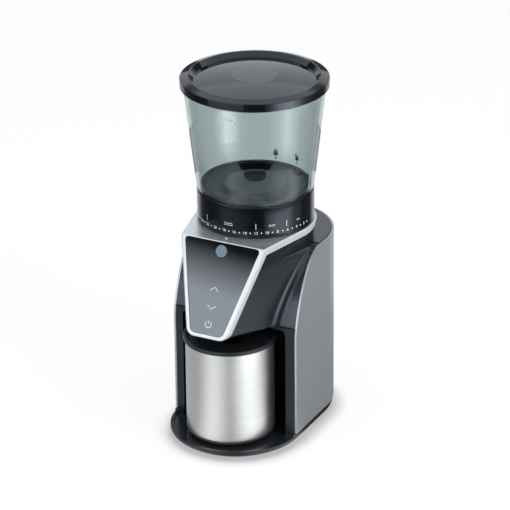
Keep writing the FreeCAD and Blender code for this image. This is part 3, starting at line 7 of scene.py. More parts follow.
import logging
import math
from dataclasses import dataclass
from enum import Enum
from typing import Callable, Iterable, Sequence

import bmesh
import bpy
from mathutils import Matrix, Vector
from mathutils.bvhtree import BVHTree


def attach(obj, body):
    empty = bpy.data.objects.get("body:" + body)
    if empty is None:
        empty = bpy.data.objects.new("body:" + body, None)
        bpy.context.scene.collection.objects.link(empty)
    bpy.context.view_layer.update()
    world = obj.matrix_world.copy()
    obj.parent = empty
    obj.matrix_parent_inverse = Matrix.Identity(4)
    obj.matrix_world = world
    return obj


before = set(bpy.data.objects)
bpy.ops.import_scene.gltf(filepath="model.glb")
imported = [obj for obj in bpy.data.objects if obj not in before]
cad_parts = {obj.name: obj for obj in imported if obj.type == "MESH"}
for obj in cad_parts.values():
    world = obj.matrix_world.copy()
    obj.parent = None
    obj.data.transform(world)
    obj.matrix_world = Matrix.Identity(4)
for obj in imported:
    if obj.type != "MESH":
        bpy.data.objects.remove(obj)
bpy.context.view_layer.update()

LOG = logging.getLogger("grinder")
MM = 0.001
# The upright axes: one for hopper, dial and burrs, one for the cup.
AXIS_Y, CUP_Y = 10.5, -42.9
FULL_TURN = 360.0
SHARP_DEG = 35.0
MERGE_M, THIN_M = 1e-7, 1e-8
# Most values of a noise lie between these two.
NOISE_SPAN = (0.3, 0.7)
SMOOTHEST = 0.01
# A ray's count of mirror bounces is above this once it has had one.
ANY_BOUNCE = 0.5
CONTACT_SAMPLES = 12
RING_SIDES = 72
# A figure's height as a share of its font size.
FIGURE_SHARE = 0.72

MATH, VECTOR, RANGE, MIX = "ShaderNodeMath", "ShaderNodeVectorMath", "ShaderNodeMapRange", "ShaderNodeMix"
NOISE, BUMP, RAMP, PLACE = "ShaderNodeTexNoise", "ShaderNodeBump", "ShaderNodeValToRGB", "ShaderNodeTexCoord"
SPLIT, MIX_SHADER, DIFFUSE = "ShaderNodeSeparateXYZ", "ShaderNodeMixShader", "ShaderNodeBsdfDiffuse"
EASED = {"interpolation_type": "SMOOTHSTEP"}
COLOUR = {"data_type": "RGBA"}

Mesh = bpy.types.Mesh
Node = bpy.types.Node
Socket = bpy.types.NodeSocket
Tree = bpy.types.NodeTree
Pair = tuple[float, float]
Point = tuple[float, float, float]
Path = Sequence[Pair]
Stops = tuple[Pair, ...]
Lay = Callable[[Vector], Vector]
Shade = Callable[[Tree], Node]


class Turn(Enum):
    """Which way the surface lines of a metal run."""

    NONE = "none"
    ROUND = "round"
    ALONG_X = "along_x"


class Lock(Enum):
    """The two stops of the hopper's twist, each with its mark's bearing and how far the bow is swung."""

    CLOSED = (186.0, 0.0)
    OPEN = (160.0, 1.5)


class Grind(Enum):
    """The dial's four stretches: first and last setting, grain size and grains in a row."""

    FINEST = (1.0, 6.2, 0.45, 5)
    FINE = (6.2, 12.0, 0.65, 5)
    MEDIUM = (12.0, 22.2, 0.9, 5)
    COARSE = (22.2, 33.0, 1.25, 4)


def linear(code: str) -> tuple[float, float, float, float]:
    """Turns an sRGB hex colour to linear light.

    Args:
        code: The colour as "#rrggbb".

    Returns:
        Red, green, blue and a full alpha.
    """
    parts = [int(code[i:i + 2], 16) / 255 for i in (1, 3, 5)]
    light = [p / 12.92 if p <= 0.04045 else ((p + 0.055) / 1.055) ** 2.4 for p in parts]
    return (*light, 1.0)


def feed(node: Node, feeds: dict[str | int, object]) -> None:
    """Links or sets inputs of a node.

    Args:
        node: The node.
        feeds: For each input, by name or number, a node or socket to link or a value to set.
    """
    for key, value in feeds.items():
        if isinstance(value, Node):
            value = next(socket for socket in value.outputs if socket.enabled)
        if isinstance(value, Socket):
            node.id_data.links.new(value, node.inputs[key])
        else:
            node.inputs[key].default_value = value


def add(tree: Tree, kind: str, *values: object, feeds: dict[str, object] | None = None, stops: Stops = (),
        **settings: object) -> Node:
    """Adds one node with its settings and links.

    Args:
        tree: The node tree that takes it.
        kind: Blender's name for the node.
        values: What the inputs that are in use get, in their order.
        feeds: What further inputs get, by name.
        stops: The greys of a ramp, each with its place from 0 to 1.
        settings: The node's own properties.

    Returns:
        The new node.
    """
    node = tree.nodes.new(kind)
    for key, value in settings.items():
        setattr(node, key, value)
    for place, _ in stops[1:-1]:
        node.color_ramp.elements.new(place)
    for index, (_, grey) in enumerate(stops):
        node.color_ramp.elements[index].color = (grey, grey, grey, 1.0)
    used = (index for index, socket in enumerate(node.inputs) if socket.enabled)
    feed(node, dict(zip(used, values)) | (feeds or {}))
    return node


def bare_tree(owner: bpy.types.Material | bpy.types.World) -> Tree:
    """Gives a new material or world an empty node tree.

    Args:
        owner: The material or world.

    Returns:
        Its tree.
    """
    owner.use_nodes = True
    owner.node_tree.nodes.clear()
    return owner.node_tree


@dataclass(frozen=True)
class Ground:
    """What every finish starts from: its tree and shader, the place on the object and the drifting colour."""

    tree: Tree
    shader: Node
    place: Socket
    tint: Node


@dataclass(frozen=True)
class Finish:
    """A real material and the way its surface was made."""

    name: str
    colour: str
    drift: str
    roughness: float
    spread: float = 0.03
    patch_mm: float = 40.0

    def build(self) -> bpy.types.Material:
        """Makes the material once and hands out the same one after that.

        Returns:
            The material, with its own node tree.
        """
        made = bpy.data.materials.get(self.name)
        if made:
            return made
        made = bpy.data.materials.new(self.name)
        tree = bare_tree(made)
        place = add(tree, PLACE).outputs["Object"]
        patch = add(tree, NOISE, place, feeds={"Scale": 1 / (self.patch_mm * MM), "Detail": 3.0})
        tint = add(tree, MIX, patch, linear(self.colour), linear(self.drift), **COLOUR)
        gloss = add(tree, RANGE, patch, *NOISE_SPAN, max(SMOOTHEST, self.roughness - self.spread),
                    self.roughness + self.spread)
        shader = add(tree, "ShaderNodeBsdfPrincipled", feeds={"Base Color": tint, "Roughness": gloss})
        add(tree, "ShaderNodeOutputMaterial", shader)
        self.dress(Ground(tree, shader, place, tint))
        return made

    def dress(self, ground: Ground) -> None:
        """Adds what sets this kind of surface apart; a plain print adds nothing."""


@dataclass(frozen=True)
class Moulding(Finish):
    """Plastic, rubber or board with the mould's grain, drawn coarser than it is so that it shows."""

    grain_mm: float = 0.8
    depth_mm: float = 0.004
    ior: float = 1.5
    coat: float = 0.0
    coat_roughness: float = 0.04
    # The tint laid on reflections; a cool one is painted in for the light's blue cast.
    sheen: str = "#ffffff"

    def dress(self, ground: Ground) -> None:
        """Adds the mould's grain as a shallow relief.

        Args:
            ground: What the finish starts from.
        """
        tree = ground.tree
        grain = add(tree, NOISE, ground.place, feeds={"Scale": 1 / (self.grain_mm * MM), "Detail": 2.0})
        relief = add(tree, BUMP, feeds={"Height": grain, "Distance": self.depth_mm * MM})
        feed(ground.shader, {"Normal": relief, "IOR": self.ior, "Specular Tint": linear(self.sheen),
                             "Coat Weight": self.coat, "Coat Roughness": self.coat_roughness})


@dataclass(frozen=True)
class ClearMoulding(Finish):
    """Clear plastic with a smoke tint: the light is tinted at each wall and bends at its faces."""

    ior: float = 1.5
    flow_mm: float = 22.0
    depth_mm: float = 0.006

    def dress(self, ground: Ground) -> None:
        """Lets light through and adds the faint waves of the melt's flow.

        Args:
            ground: What the finish starts from.
        """
        tree = ground.tree
        flow = add(tree, NOISE, ground.place, feeds={"Scale": 1 / (self.flow_mm * MM), "Detail": 1.0})
        relief = add(tree, BUMP, feeds={"Height": flow, "Distance": self.depth_mm * MM})
        feed(ground.shader, {"Normal": relief, "IOR": self.ior, "Transmission Weight": 1.0})


@dataclass(frozen=True)
class Metal(Finish):
    """Bare metal with the lines of its turning, brushing or grinding, drawn coarse enough to show."""

    turn: Turn = Turn.NONE
    centre_mm: Pair = (0.0, AXIS_Y)
    line_mm: float = 0.5
    run_mm: float = 30.0
    depth_mm: float = 0.003
    anisotropy: float = 0.0
    round_mm: float = 40.0
    shade: Pair = (0.88, 1.06)

    def way(self, ground: Ground) -> Socket | Node:
        """Finds the place that the lines are drawn by.

        Args:
            ground: What the finish starts from.

        Returns:
            The place on the object, or for round lines the way round the axis and the reach from it.
        """
        if self.turn is not Turn.ROUND:
            return ground.place
        tree = ground.tree
        x, y = self.centre_mm
        centred = add(tree, "ShaderNodeMapping", ground.place, (-x * MM, -y * MM, 0.0))
        axes = add(tree, SPLIT, centred).outputs
        bearing = add(tree, MATH, axes[0], axes[1], operation="ARCTAN2")
        along = add(tree, MATH, bearing, self.round_mm * MM, operation="MULTIPLY")
        reach = add(tree, VECTOR, centred, operation="LENGTH")
        across = add(tree, MATH, reach, axes[2], operation="ADD")
        return add(tree, "ShaderNodeCombineXYZ", along, across)

    def dress(self, ground: Ground) -> None:
        """Draws the tool's lines, which are short across and long in the way the tool went.

        Args:
            ground: What the finish starts from.
        """
        tree = ground.tree
        fine = 1 / (self.line_mm * MM)
        drawn_out = fine if self.turn is Turn.NONE else 1 / (self.run_mm * MM)
        drawn = add(tree, "ShaderNodeMapping", self.way(ground), feeds={"Scale": (drawn_out, fine, fine)})
        lines = add(tree, NOISE, drawn, feeds={"Scale": 1.0, "Detail": 3.0})
        relief = add(tree, BUMP, feeds={"Height": lines, "Distance": self.depth_mm * MM})
        shade = add(tree, RANGE, lines, *NOISE_SPAN, *self.shade)
        worn = add(tree, MIX, 1.0, ground.tint, shade, **COLOUR, blend_type="MULTIPLY")
        feed(ground.shader, {"Metallic": 1.0, "Normal": relief, "Base Color": worn})
        if self.anisotropy:
            tangent = add(tree, "ShaderNodeTangent", direction_type="RADIAL", axis="Z")
            feed(ground.shader, {"Tangent": tangent, "Anisotropic": self.anisotropy})


@dataclass(frozen=True)
class FlakePaint(Finish):
    """Satin paint with metal flakes, and a brighter cut edge where it is trimmed, partly bare metal and
    partly a painted highlight.
    """

    flake_mm: float = 0.6
    metallic: float = 0.7
    level_metallic: float = 0.0
    edge: str = ""
    sparkle: Pair = (0.97, 1.03)
    edge_facing: Pair = (-0.55, -0.75)
    level_facing: Pair = (0.95, 0.99)

    def dress(self, ground: Ground) -> None:
        """Scatters the flakes, brightens a cut edge that looks forward as partly a painted highlight, and
        polishes a face that looks up.

        Args:
            ground: What the finish starts from.
        """
        tree = ground.tree
        flakes = add(tree, "ShaderNodeTexVoronoi", ground.place, feeds={"Scale": 1 / (self.flake_mm * MM)})
        grey = add(tree, "ShaderNodeRGBToBW", flakes.outputs["Color"])
        sparkle = add(tree, RANGE, grey, 0.0, 1.0, *self.sparkle)
        colour = add(tree, MIX, 1.0, ground.tint, sparkle, **COLOUR, blend_type="MULTIPLY")
        facing = add(tree, SPLIT, add(tree, "ShaderNodeNewGeometry").outputs["True Normal"]).outputs
        # A paler colour on faces that look forward: the cut edge, partly a painted highlight.
        if self.edge:
            edge_highlight_mask = add(tree, RANGE, facing[1], *self.edge_facing)
            colour = add(tree, MIX, edge_highlight_mask, colour, linear(self.edge), **COLOUR)
        metallic = self.metallic
        if self.level_metallic:
            metallic = add(tree, RANGE, facing[2], *self.level_facing, self.metallic, self.level_metallic)
        feed(ground.shader, {"Base Color": colour, "Metallic": metallic})


# Each finish starts with its name, two colours, its roughness, how far that strays and the size of a patch.

# A painted cool tint on the reflections of black plastic and glass, standing in for the blue cast of the
# studio light.
COOL_REFLECTION_TINT = "#dbe6f2"
# Polished ABS takes a mirror from the tool, so black parts show the studio and almost no colour of their own.
GLOSS_BLACK = Moulding("abs_black_polished", "#0b0c0f", "#0e1013", 0.07, 0.02, 60.0,
                       grain_mm=7.0, depth_mm=0.0015, sheen=COOL_REFLECTION_TINT)
# The dial is the same plastic, but wiped by fingers, which spreads the reflection a little.
DIAL_BLACK = Moulding("abs_black_dial_polished", "#090b0e", "#0d0f12", 0.10, 0.03, 30.0,
                      grain_mm=6.0, depth_mm=0.0015, sheen=COOL_REFLECTION_TINT)
# Etched ABS: an even, fine skin that turns reflections to a soft grey sheen.
ETCHED_BLACK = Moulding("abs_black_etched", "#191b1f", "#1d1f23", 0.22, 0.03, 45.0, grain_mm=1.2, sheen=COOL_REFLECTION_TINT)
# The bay's ABS is etched deeper, so it stays darker and duller than the head.
BAY_BLACK = Moulding("abs_black_bay_etched", "#15171a", "#191b1e", 0.36, 0.03, 40.0,
                     grain_mm=1.0, depth_mm=0.006, sheen=COOL_REFLECTION_TINT)
# The hopper's floor is grey satin plastic, worn a little paler where beans slide.
FLOOR_GREY = Moulding("abs_grey_satin", "#686e73", "#72787d", 0.34, 0.05, 25.0, grain_mm=1.5, depth_mm=0.006)
# Smoked copolyester: clear, slightly green, and darker where the eye looks along the wall.
SMOKED_CLEAR = ClearMoulding("copolyester_smoked_moulded", "#c9d3d2", "#cfd8d7", 0.03, 0.01, 60.0)
# Lacquer with fine metal flake on a moulded bezel: a bright satin silver that shines where it lies level.
SILVER_LACQUER = FlakePaint("lacquer_silver_satin", "#c1c6ca", "#c9ced2", 0.3, 0.03, 35.0,
                            flake_mm=0.8, metallic=0.25, level_metallic=0.8)
# Flake paint on the wrapped rear panel: mid grey, soft sheen, with a bright trimmed edge whose brightness is
# partly a painted highlight of the chamfer.
GREY_FLAKE = FlakePaint("paint_grey_metal_flake", "#8a9094", "#91979b", 0.33, 0.03, 60.0,
                        flake_mm=0.9, metallic=0.35, edge="#aeb4b8")
# Black glass over the touch keys: a hard, deep mirror with a low curve of smears.
PANEL_GLASS = Moulding("glass_black_backprinted", "#0b0d11", "#0e1014", 0.05, 0.015, 22.0,
                       grain_mm=12.0, depth_mm=0.0008, ior=1.6, coat=1.0, sheen=COOL_REFLECTION_TINT)
# Stainless steel brushed round and round: sharp across the brush lines, smeared along the cup's height.
BRUSHED_STEEL = Metal("stainless_steel_brushed", "#d2d0c9", "#dcdad3", 0.33, 0.03, 30.0, turn=Turn.ROUND,
                      centre_mm=(0.0, CUP_Y), line_mm=0.9, run_mm=60.0, depth_mm=0.004, anisotropy=0.4)
# Natural rubber feet: dull and dusty.
FOOT_RUBBER = Moulding("rubber_black_moulded", "#1b1b1c", "#262627", 0.78, 0.06, 8.0,
                       grain_mm=0.7, depth_mm=0.02)
# Silicone lip: soft, greyish and slightly waxy.
SILICONE = Moulding("silicone_grey_moulded", "#83868a", "#8d9094", 0.5, 0.05, 12.0, depth_mm=0.008, ior=1.42)
# Hardened steel, ground: bright with fine lines round the axis.
BURR_STEEL = Metal("steel_hardened_ground", "#9fa3a6", "#acb0b3", 0.3, 0.04, 14.0, turn=Turn.ROUND,
                   line_mm=0.6, run_mm=25.0, depth_mm=0.004)
# Turned steel shafts and screws, bright and lightly oiled.
SHAFT_STEEL = Metal("steel_bright_turned", "#b3b6b9", "#bfc2c5", 0.22, 0.04, 10.0)
# Nylon gears: milky, slightly waxy.
NYLON = Moulding("nylon_natural_moulded", "#d9d5c6", "#e2dfd2", 0.45, 0.05, 12.0,
                 grain_mm=0.9, depth_mm=0.008, ior=1.53)
# Glass-filled plastic for the inner pieces: matt with a faint flow grain, its colour darkened as painted
# shade for pieces deep in shadow.
FILLED_PLASTIC = Moulding("pbt_glass_filled", "#16181a", "#1e2022", 0.55, 0.06, 16.0, depth_mm=0.012)
# Stamped aluminium plate with a rolled grain: pale, with soft lines one way.
ROLLED_ALUMINIUM = Metal("aluminium_rolled_plate", "#b9bcbf", "#c4c7ca", 0.34, 0.04, 30.0,
                         turn=Turn.ALONG_X, run_mm=40.0)
# Fibreglass board under solder mask: an even, half-gloss green.
BOARD_GREEN = Moulding("fr4_board_masked", "#1d5a3a", "#236846", 0.32, 0.05, 9.0, grain_mm=0.5)
# Drawn copper and sintered bronze: warm, with a soft shine.
COPPER = Metal("copper_drawn", "#b9714d", "#c98560", 0.3, 0.05, 8.0, line_mm=0.6, depth_mm=0.004)
# Ferrite magnets: dark, matt and grainy.
FERRITE = Moulding("ferrite_sintered", "#2f3032", "#3a3b3d", 0.68, 0.05, 7.0, grain_mm=0.5, depth_mm=0.015)
# Pressed carbon brushes: black and dusty.
CARBON = Moulding("carbon_pressed", "#1c1c1d", "#28282a", 0.62, 0.06, 5.0, grain_mm=0.5, depth_mm=0.015)
# Pad-printed white ink: flat and slightly chalky.
WHITE_INK = Finish("ink_white_pad_printed", "#eceff1", "#f4f6f7", 0.5, 0.04, 3.0)
# Grey ink behind the glass, dimmer than the dial's.
GREY_INK = Finish("ink_grey_screen_printed", "#c6ccd2", "#d0d6db", 0.4, 0.04, 3.0)
# Dark ink on the hopper: flat and nearly black.
DARK_INK = Finish("ink_dark_pad_printed", "#16191b", "#1f2224", 0.5, 0.04, 3.0)
# A plain printed disc, blue-grey like the rest of the panel's prints.
DISC_INK = Finish("ink_bluegrey_screen_printed", "#56697a", "#5e7282", 0.35, 0.04, 6.0)
# Painted shade: dark sectors laid on the hopper's floor where its openings lead into the dark, so next to
# nothing comes back from them.
PAINTED_SHADE_BLACK = Moulding("painted_shade_recess", "#050708", "#07090b", 0.8, 0.05, 10.0, grain_mm=1.0, ior=1.12)
# The lid's inlay is the same ABS with a fine blasted skin, so it looks paler.
BLASTED_BLACK = Moulding("abs_black_blasted", "#2b2e31", "#303336", 0.3, 0.03, 20.0,
                         grain_mm=1.2, depth_mm=0.005)


def mesh_piece(name: str, body: str, slot: str, *meshes: Mesh) -> None:
    """Puts finished meshes in the scene as one piece.

    Args:
        name: The piece's plain name.
        body: The body it moves with.
        slot: The record's material slot that its finish belongs to; not used.
        meshes: What it is made of, already in place and of one finish.
    """
    mesh = meshes[0] if len(meshes) == 1 else joined(*meshes)
    mesh.name = name
    piece = bpy.data.objects.new(name, mesh)
    bpy.context.scene.collection.objects.link(piece)
    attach(piece, body)
    LOG.info("%s: %d faces on %s", name, len(mesh.polygons), body)


def dress_nodes(finish: Finish, *names: str) -> None:
    """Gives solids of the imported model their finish.

    Args:
        finish: The finish they share.
        names: The solids' names.
    """
    for name in names:
        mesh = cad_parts[name].data
        mesh.materials.clear()
        mesh.materials.append(finish.build())
        LOG.info("%s: %s", name, finish.name)


def evaluated_mesh(holder: bpy.types.Object) -> Mesh:
    """Turns a passing object with its modifiers into a plain mesh.

    Args:
        holder: A text, or a mesh with its modifier; it is removed.

    Returns:
        The mesh.
    """
    bpy.context.scene.collection.objects.link(holder)
    graph = bpy.context.evaluated_depsgraph_get()
    graph.update()
    mesh = bpy.data.meshes.new_from_object(holder.evaluated_get(graph))
    bpy.data.objects.remove(holder)
    return mesh


def joined(*meshes: Mesh) -> Mesh:
    """Makes one mesh of several that share a material.

    Args:
        meshes: The meshes, all in the same frame.

    Returns:
        The joined mesh.
    """
    work = bmesh.new()
    for mesh in meshes:
        work.from_mesh(mesh)
    whole = bpy.data.meshes.new("joined")
    work.to_mesh(whole)
    work.free()
    whole.materials.append(next(made for mesh in meshes for made in mesh.materials if made))
    for face in whole.polygons:
        face.material_index = 0
    return whole


def polyline(paths: Iterable[Iterable[Point]]) -> Mesh:
    """Lays out paths as bare edges, in metres, for a geometry tree to follow.

    Args:
        paths: Points of each path in millimetres.

    Returns:
        A mesh of edges.
    """
    points: list[Vector] = []
    edges: list[tuple[int, int]] = []
    for path in paths:
        first = len(points)
        points.extend(Vector(p) * MM for p in path)
        edges.extend((i, i + 1) for i in range(first, len(points) - 1))
    mesh = bpy.data.meshes.new("paths")
    mesh.from_pydata(points, edges, [])
    return mesh


@dataclass(frozen=True)
class Pattern:
    """A geometry tree with named inputs, which starts from a mesh and ends in real, inked shapes."""

    name: str
    inputs: dict[str, str]
    shape: Callable[[Tree, bpy.types.NodeOutputs], Node]

    def tree(self) -> Tree:
        """Makes the tree once and hands out the same one after that.

        Returns:
            The tree, with its own inputs between Geometry and Ink.
        """
        made = bpy.data.node_groups.get(self.name)
        if made:
            return made
        tree = bpy.data.node_groups.new(self.name, "GeometryNodeTree")
        for label, kind in {"Geometry": "Geometry", **self.inputs, "Ink": "Material"}.items():
            tree.interface.new_socket(name=label, in_out="INPUT", socket_type="NodeSocket" + kind)
        tree.interface.new_socket(name="Geometry", in_out="OUTPUT", socket_type="NodeSocketGeometry")
        given = add(tree, "NodeGroupInput").outputs
        real = add(tree, "GeometryNodeRealizeInstances", self.shape(tree, given))
        inked = add(tree, "GeometryNodeSetMaterial", real, feeds={"Material": given["Ink"]})
        add(tree, "NodeGroupOutput", inked)
        return tree

    def grown(self, start: Mesh, ink: Finish, sizes: dict[str, float]) -> Mesh:
        """Runs the tree on a mesh.

        Args:
            start: The mesh that it starts from.
            ink: The finish of what comes out.
            sizes: A value for each of the tree's own inputs, by its name.

        Returns:
            The plain mesh that came out.
        """
        holder = bpy.data.objects.new("passing", start)
        modifier = holder.modifiers.new("grow", "NODES")
        modifier.node_group = self.tree()
        given = {**sizes, "Ink": ink.build()}
        for item in modifier.node_group.interface.items_tree:
            if item.in_out == "INPUT" and item.name in given:
                modifier[item.identifier] = given[item.name]
        return evaluated_mesh(holder)


def bead_shape(tree: Tree, given: bpy.types.NodeOutputs) -> Node:
    """Adds the nodes that draw a round bead along every path of a mesh.

    Args:
        tree: The geometry tree.
        given: Its inputs.

    Returns:
        The last node.
    """
    half = add(tree, MATH, given["Width"], 0.5, operation="MULTIPLY")
    path = add(tree, "GeometryNodeMeshToCurve", given["Geometry"])
    profile = add(tree, "GeometryNodeCurvePrimitiveCircle", feeds={"Resolution": 8, "Radius": half})
    return add(tree, "GeometryNodeCurveToMesh", path, profile, feeds={"Fill Caps": True})


def dots_shape(tree: Tree, given: bpy.types.NodeOutputs) -> Node:
    """Adds the nodes that set round dots in rows and columns about the middle, with a fixed scatter.

    Args:
        tree: The geometry tree.
        given: Its inputs.

    Returns:
        The last node.
    """
    count = add(tree, MATH, given["Columns"], given["Rows"], operation="MULTIPLY")
    points = add(tree, "GeometryNodePoints", count)
    index = add(tree, "GeometryNodeInputIndex")
    column = add(tree, MATH, index, given["Columns"], operation="MODULO")
    share = add(tree, MATH, index, given["Columns"], operation="DIVIDE")
    row = add(tree, MATH, share, operation="FLOOR")
    offsets = []
    for label, number in (("Column", column), ("Row", row)):
        last = add(tree, MATH, given[label + "s"], 1.0, operation="SUBTRACT")
        middle = add(tree, MATH, last, -0.5, number, operation="MULTIPLY_ADD")
        offsets.append(add(tree, MATH, middle, given[label + " Step"], operation="MULTIPLY"))
    place = add(tree, "ShaderNodeCombineXYZ", *offsets)
    chance = add(tree, "FunctionNodeRandomValue", data_type="FLOAT_VECTOR",
                 feeds={"Min": (-1.0, -1.0, 0.0), "Max": (1.0, 1.0, 0.0), "Seed": 7})
    drift = add(tree, VECTOR, chance, given["Scatter"], operation="SCALE")
    moved = add(tree, "GeometryNodeSetPosition", points, feeds={"Position": place, "Offset": drift})
    half = add(tree, MATH, given["Dot"], 0.5, operation="MULTIPLY")
    dot = add(tree, "GeometryNodeMeshCylinder",
              feeds={"Vertices": 14, "Radius": half, "Depth": given["Thickness"]})
    return add(tree, "GeometryNodeInstanceOnPoints", moved, feeds={"Instance": dot})


BEAD = Pattern("bead_along_path", {"Width": "Float"}, bead_shape)
DOTS = Pattern("dots_in_rows", {"Columns": "Int", "Rows": "Int", "Column Step": "Float", "Row Step": "Float",
                                "Dot": "Float", "Thickness": "Float", "Scatter": "Float"}, dots_shape)


@dataclass(frozen=True)
class Print:
    """Flat marks, drawn in a plane of x to the right and y up before they are laid on a surface."""

    ink: Finish
    thickness_mm: float = 0.08

    def strokes(self, paths: Iterable[Path], width_mm: float) -> Mesh:
        """Draws flat lines of one width along paths.

        Args:
            paths: Points (x, y) of each path in millimetres.
            width_mm: The width of the lines.

        Returns:
            A closed mesh, flat but for the ink's thickness.
        """
        start = polyline([(x, y, 0.0) for x, y in path] for path in paths)
        mesh = BEAD.grown(start, self.ink, {"Width": width_mm * MM})
        mesh.transform(Matrix.Diagonal((1.0, 1.0, self.thickness_mm / width_mm, 1.0)))
        return mesh

    def dots(self, columns: int, rows: int, step_mm: float, dot_mm: float, scatter_mm: float = 0.0) -> Mesh:
        """Draws dots in rows and columns about the middle.

        Args:
            columns: Dots in a row.
            rows: Rows of dots.
            step_mm: From one dot to the next, either way.
            dot_mm: A dot's width.
            scatter_mm: How far a dot may sit from its place.

        Returns:
            A closed mesh.
        """
        sizes = {"Column Step": step_mm, "Row Step": step_mm, "Dot": dot_mm, "Thickness": self.thickness_mm,
                 "Scatter": scatter_mm}
        sizes = {label: size * MM for label, size in sizes.items()}
        return DOTS.grown(bpy.data.meshes.new("dots"), self.ink, {"Columns": columns, "Rows": rows, **sizes})

    def figures(self, text: str, height_mm: float) -> Mesh:
        """Draws a number, centred.

        Args:
            text: The figures.
            height_mm: Their height.

        Returns:
            A closed mesh with the ink's thickness.
        """
        curve = bpy.data.curves.new("figures", "FONT")
        curve.body = text
        curve.size = height_mm / FIGURE_SHARE * MM
        curve.align_x = curve.align_y = "CENTER"
        curve.resolution_u = 3
        curve.extrude = self.thickness_mm / 2 * MM
        curve.materials.append(self.ink.build())
        return evaluated_mesh(bpy.data.objects.new("passing", curve))


def laid(mesh: Mesh, place: Lay) -> Mesh:
    """Moves every point of a flat mark onto its surface.

    Args:
        mesh: The mark, drawn in x to the right, y up and z off the surface.
        place: Gives the point on the object for a point of the mark.

    Returns:
        The same mesh.
    """
    for vertex in mesh.vertices:
        vertex.co = place(vertex.co)
    mesh.update()
    return mesh


def round_wall(bearing_deg: float, z: float, radius: float, lean: float = 0.0) -> Lay:
    """Finds how a flat mark is laid on a wall round the grinder's upright axis.

    Args:
        bearing_deg: The mark's middle, from the front towards +X.
        z: The height of its middle.
        radius: The wall's radius there.
        lean: How far the wall goes out for each step up.

    Returns:
        A function from a point of the mark to a point on the wall.
    """
    def place(p: Vector) -> Vector:
        """Wraps one point round the wall.

        Args:
            p: The point on the flat mark.

        Returns:
            The point on the wall.
        """
        turn = math.radians(bearing_deg) + p.x / (radius * MM)
        reach = radius * MM + lean * p.y + p.z
        return Vector((reach * math.sin(turn), AXIS_Y * MM - reach * math.cos(turn), z * MM + p.y))

    return place


def arc(radius: float, start_deg: float, end_deg: float, steps: int = 24) -> list[Pair]:
    """Points along an arc about the origin.

    Args:
        radius: Its radius.
        start_deg: Where it starts, from x to the right towards y up.
        end_deg: Where it ends.
        steps: How many chords.

    Returns:
        Points (x, y).
    """
    turns = [math.radians(start_deg + (end_deg - start_deg) * i / steps) for i in range(steps + 1)]
    return [(radius * math.cos(t), radius * math.sin(t)) for t in turns]


def closed_mesh(work: bmesh.types.BMesh, finish: Finish) -> Mesh:
    """Turns the faces of a closed shape outward and makes it a mesh.

    Args:
        work: The shape, in metres; it is freed.
        finish: The finish it gets.

    Returns:
        The mesh.
    """
    bmesh.ops.recalc_face_normals(work, faces=work.faces)
    mesh = bpy.data.meshes.new("drawn")
    work.to_mesh(mesh)
    work.free()
    mesh.materials.append(finish.build())
    return mesh


def swept(profile: Path, centre: Pair, finish: Finish, steps: int = 96, start_deg: float = 0.0,
          sweep_deg: float = FULL_TURN) -> Mesh:
    """Sweeps a closed profile round an upright axis.

    Args:
        profile: Points (radius, height) in millimetres; a radius of 0 closes the middle.
        centre: The axis (x, y) in millimetres.
        finish: The finish it gets.
        steps: Sides on the way.
        start_deg: Where the sweep starts, from +X towards +Y.
        sweep_deg: How far it goes; less than a full turn gets two flat ends.

    Returns:
        A closed mesh with outward faces; a full turn is shaded smooth.
    """
    work = bmesh.new()
    full = sweep_deg == FULL_TURN
    rows = []
    for step in range(steps if full else steps + 1):
        turn = math.radians(start_deg + sweep_deg * step / steps)
        out = Vector((math.cos(turn), math.sin(turn), 0))
        rows.append([work.verts.new((out * r + Vector((*centre, z))) * MM) for r, z in profile])
    if full:
        rows.append(rows[0])
    else:
        work.faces.new(rows[0])
        work.faces.new(rows[-1])
    for here, there in zip(rows, rows[1:]):
        for k in range(len(profile)):
            work.faces.new((here[k - 1], there[k - 1], there[k], here[k]))
    bmesh.ops.remove_doubles(work, verts=work.verts, dist=MERGE_M)
    bmesh.ops.dissolve_degenerate(work, edges=work.edges, dist=THIN_M)
    mesh = closed_mesh(work, finish)
    if full:
        mesh.shade_smooth()
        mesh.set_sharp_from_angle(angle=math.radians(SHARP_DEG))
    return mesh


@dataclass(frozen=True)
class Ring:
    """A flat ring that only reflections see, pale towards the lamps and dark between them."""

    name: str
    centre_mm: Pair
    z_mm: float
    reach_mm: Pair
    fade_mm: Pair
    boxes: Stops


# The rows of soft boxes that reflections see: bearings from the camera, in degrees, and their brightness.
DIM_LEFT: Stops = (
    (-180, 0.85), (-146, 0.85), (-130, 0.15), (-97, 0.06), (-80, 0.2), (-66, 0.55), (-50, 0.55), (-29, 0.4),
    (-18, 0.25), (-6, 0.05), (14, 0.05))
BACK: Stops = ((134, 0.1), (146, 0.85), (180, 0.85))
HIGH_BOXES: Stops = (
    (-180, 1.1), (-146, 1.1), (-134, 0.1), (18, 0.08), (27, 1.2), (50, 2.6), (64, 2.6), (85, 0.6),
    (100, 0.15), (134, 0.1), (146, 1.1), (180, 1.1))
RIM_BOXES: Stops = DIM_LEFT + (
    (26, 1.4), (40, 5.0), (50, 6.0), (58, 6.0), (63, 4.3), (70, 3.0), (78, 1.3), (85, 0.6), (104, 0.1)) + BACK
LOW_BOXES: Stops = DIM_LEFT + (
    (24, 1.4), (42, 2.9), (58, 2.8), (66, 2.8), (76, 1.3), (85, 0.6), (93, 0.5), (104, 0.1)) + BACK
STEEP_BOXES: Stops = (
    (-180, 0.85), (-146, 0.85), (-130, 0.08), (-75, 0.08), (-62, 0.2), (-48, 0.6), (-30, 0.2), (-12, 0.08),
    (20, 0.08), (32, 0.4), (50, 1.0), (60, 1.0), (72, 1.3), (88, 1.2), (100, 0.1)) + BACK
